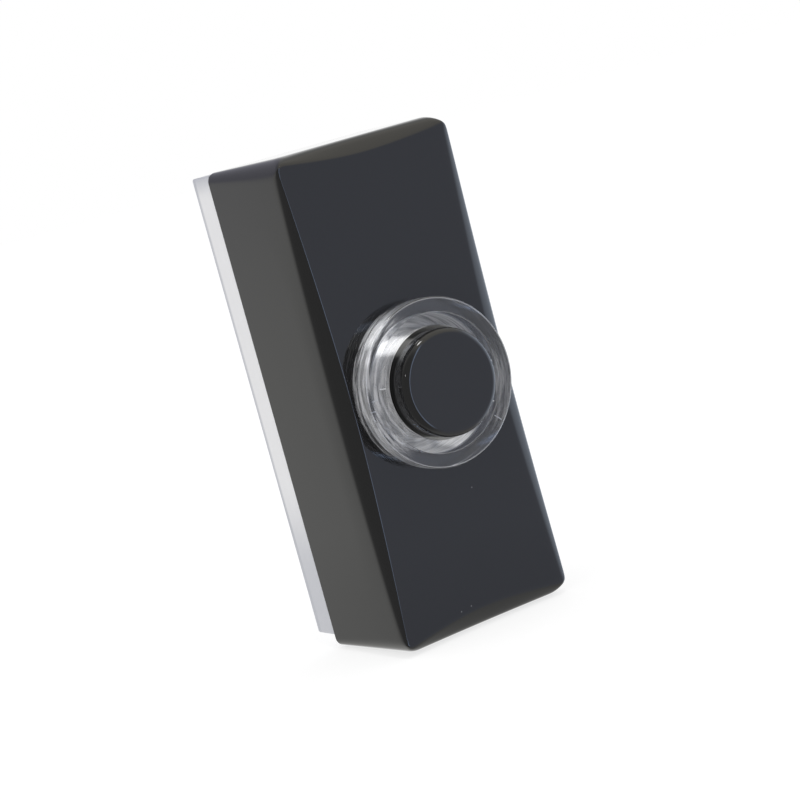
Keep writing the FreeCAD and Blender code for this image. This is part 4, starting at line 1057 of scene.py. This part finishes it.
def surroundings(tree, look):
    """Colour of what the part mirrors in a direction: a white tent, the lamp above it, a window
    on the right, the dimmer room to the left of the photographer, and the bright slit of the
    tent beside it."""
    tent = None
    for centre, low, high, colour in (
            ((0.6, -0.8, 0.0), 0.2, 0.9, (0.69, 0.735, 0.87)),
            ((0.49, 0.86, 0.0), 0.75, 0.93, (1.08, 1.08, 1.08)),
            ((0.35, -0.35, 0.87), 0.72, 0.93, (1.16, 1.12, 1.02)),
            ((0.49, -0.1, -0.86), 0.88, 0.98, (0.72, 0.72, 0.7)),
            ((-0.14, 0.86, 0.49), 0.76, 0.93, (0.5, 0.5, 0.58)),
            ((0.98, 0.0, -0.14), 0.72, 0.95, (1.25, 1.4, 1.65)),
            ((-0.86, -0.5, -0.1), 0.2, 0.6, (0.36, 0.36, 0.35))):
        under = [(6, tent)] if tent else []
        tent = add_node(tree, "Mix", [("Factor", towards(tree, look, centre, low, high)), *under],
                        data_type="RGBA", i6=linear("#e4e4e1"), i7=(*colour, 1.0))
    side = add_node(tree, "VectorMath", [(0, look)], operation="DOT_PRODUCT", i1=(0.99, 0.14, 0.0))
    away = add_node(tree, "Math", [(0, side)], operation="ABSOLUTE")
    edge = add_node(tree, "MapRange", [("Value", away)], From_Min=0.03, From_Max=0.09, To_Min=1.0, To_Max=0.0)
    ahead = towards(tree, look, (0.0, -1.0, 0.0), 0.75, 0.9)
    slit = add_node(tree, "Math", [(0, edge), (1, ahead)], operation="MULTIPLY")
    return add_node(tree, "Mix", [("Factor", slit), (6, tent)], data_type="RGBA", i7=(2.4, 3.0, 4.2, 1.0))


def background_rays(tree):
    """1 for rays that show the background: straight from the camera, in gloss and through glass."""
    rays = add_node(tree, "LightPath").outputs
    first = add_node(tree, "Math", [(0, rays["Is Camera Ray"]), (1, rays["Is Glossy Ray"])],
                     operation="MAXIMUM")
    return add_node(tree, "Math", [(0, first), (1, rays["Is Transmission Ray"])], operation="MAXIMUM")


class DOORBELL_PT_panel(bpy.types.Panel):
    """Steps and sizes of the doorbell push"""
    bl_idname = "DOORBELL_PT_panel"
    bl_label = "Doorbell push"
    bl_space_type = "VIEW_3D"
    bl_region_type = "UI"
    bl_category = "Doorbell push"

    def draw(self, context):
        for kind in OPERATORS:
            self.layout.operator(kind.bl_idname)
        for group in (context.scene.doorbell_sizes, context.scene.doorbell_colours):
            for name in group.__annotations__:
                self.layout.prop(group, name)


OPERATORS = (DOORBELL_OT_cover, DOORBELL_OT_plate, DOORBELL_OT_collar, DOORBELL_OT_button, DOORBELL_OT_spring,
             DOORBELL_OT_tongue, DOORBELL_OT_fittings, DOORBELL_OT_stage)
CLASSES = (DoorbellSizes, DoorbellColours, *OPERATORS, DOORBELL_PT_panel)


def register():
    for kind in CLASSES:
        bpy.utils.register_class(kind)
    bpy.types.Scene.doorbell_sizes = PointerProperty(type=DoorbellSizes)
    bpy.types.Scene.doorbell_colours = PointerProperty(type=DoorbellColours)


def unregister():
    del bpy.types.Scene.doorbell_sizes
    del bpy.types.Scene.doorbell_colours
    for kind in reversed(CLASSES):
        bpy.utils.unregister_class(kind)


def main():
    register()
    for step in ("cover", "plate", "collar", "button", "spring", "tongue", "fittings", "stage"):
        getattr(bpy.ops.doorbell, step)()


if __name__ == "__main__":
    main()
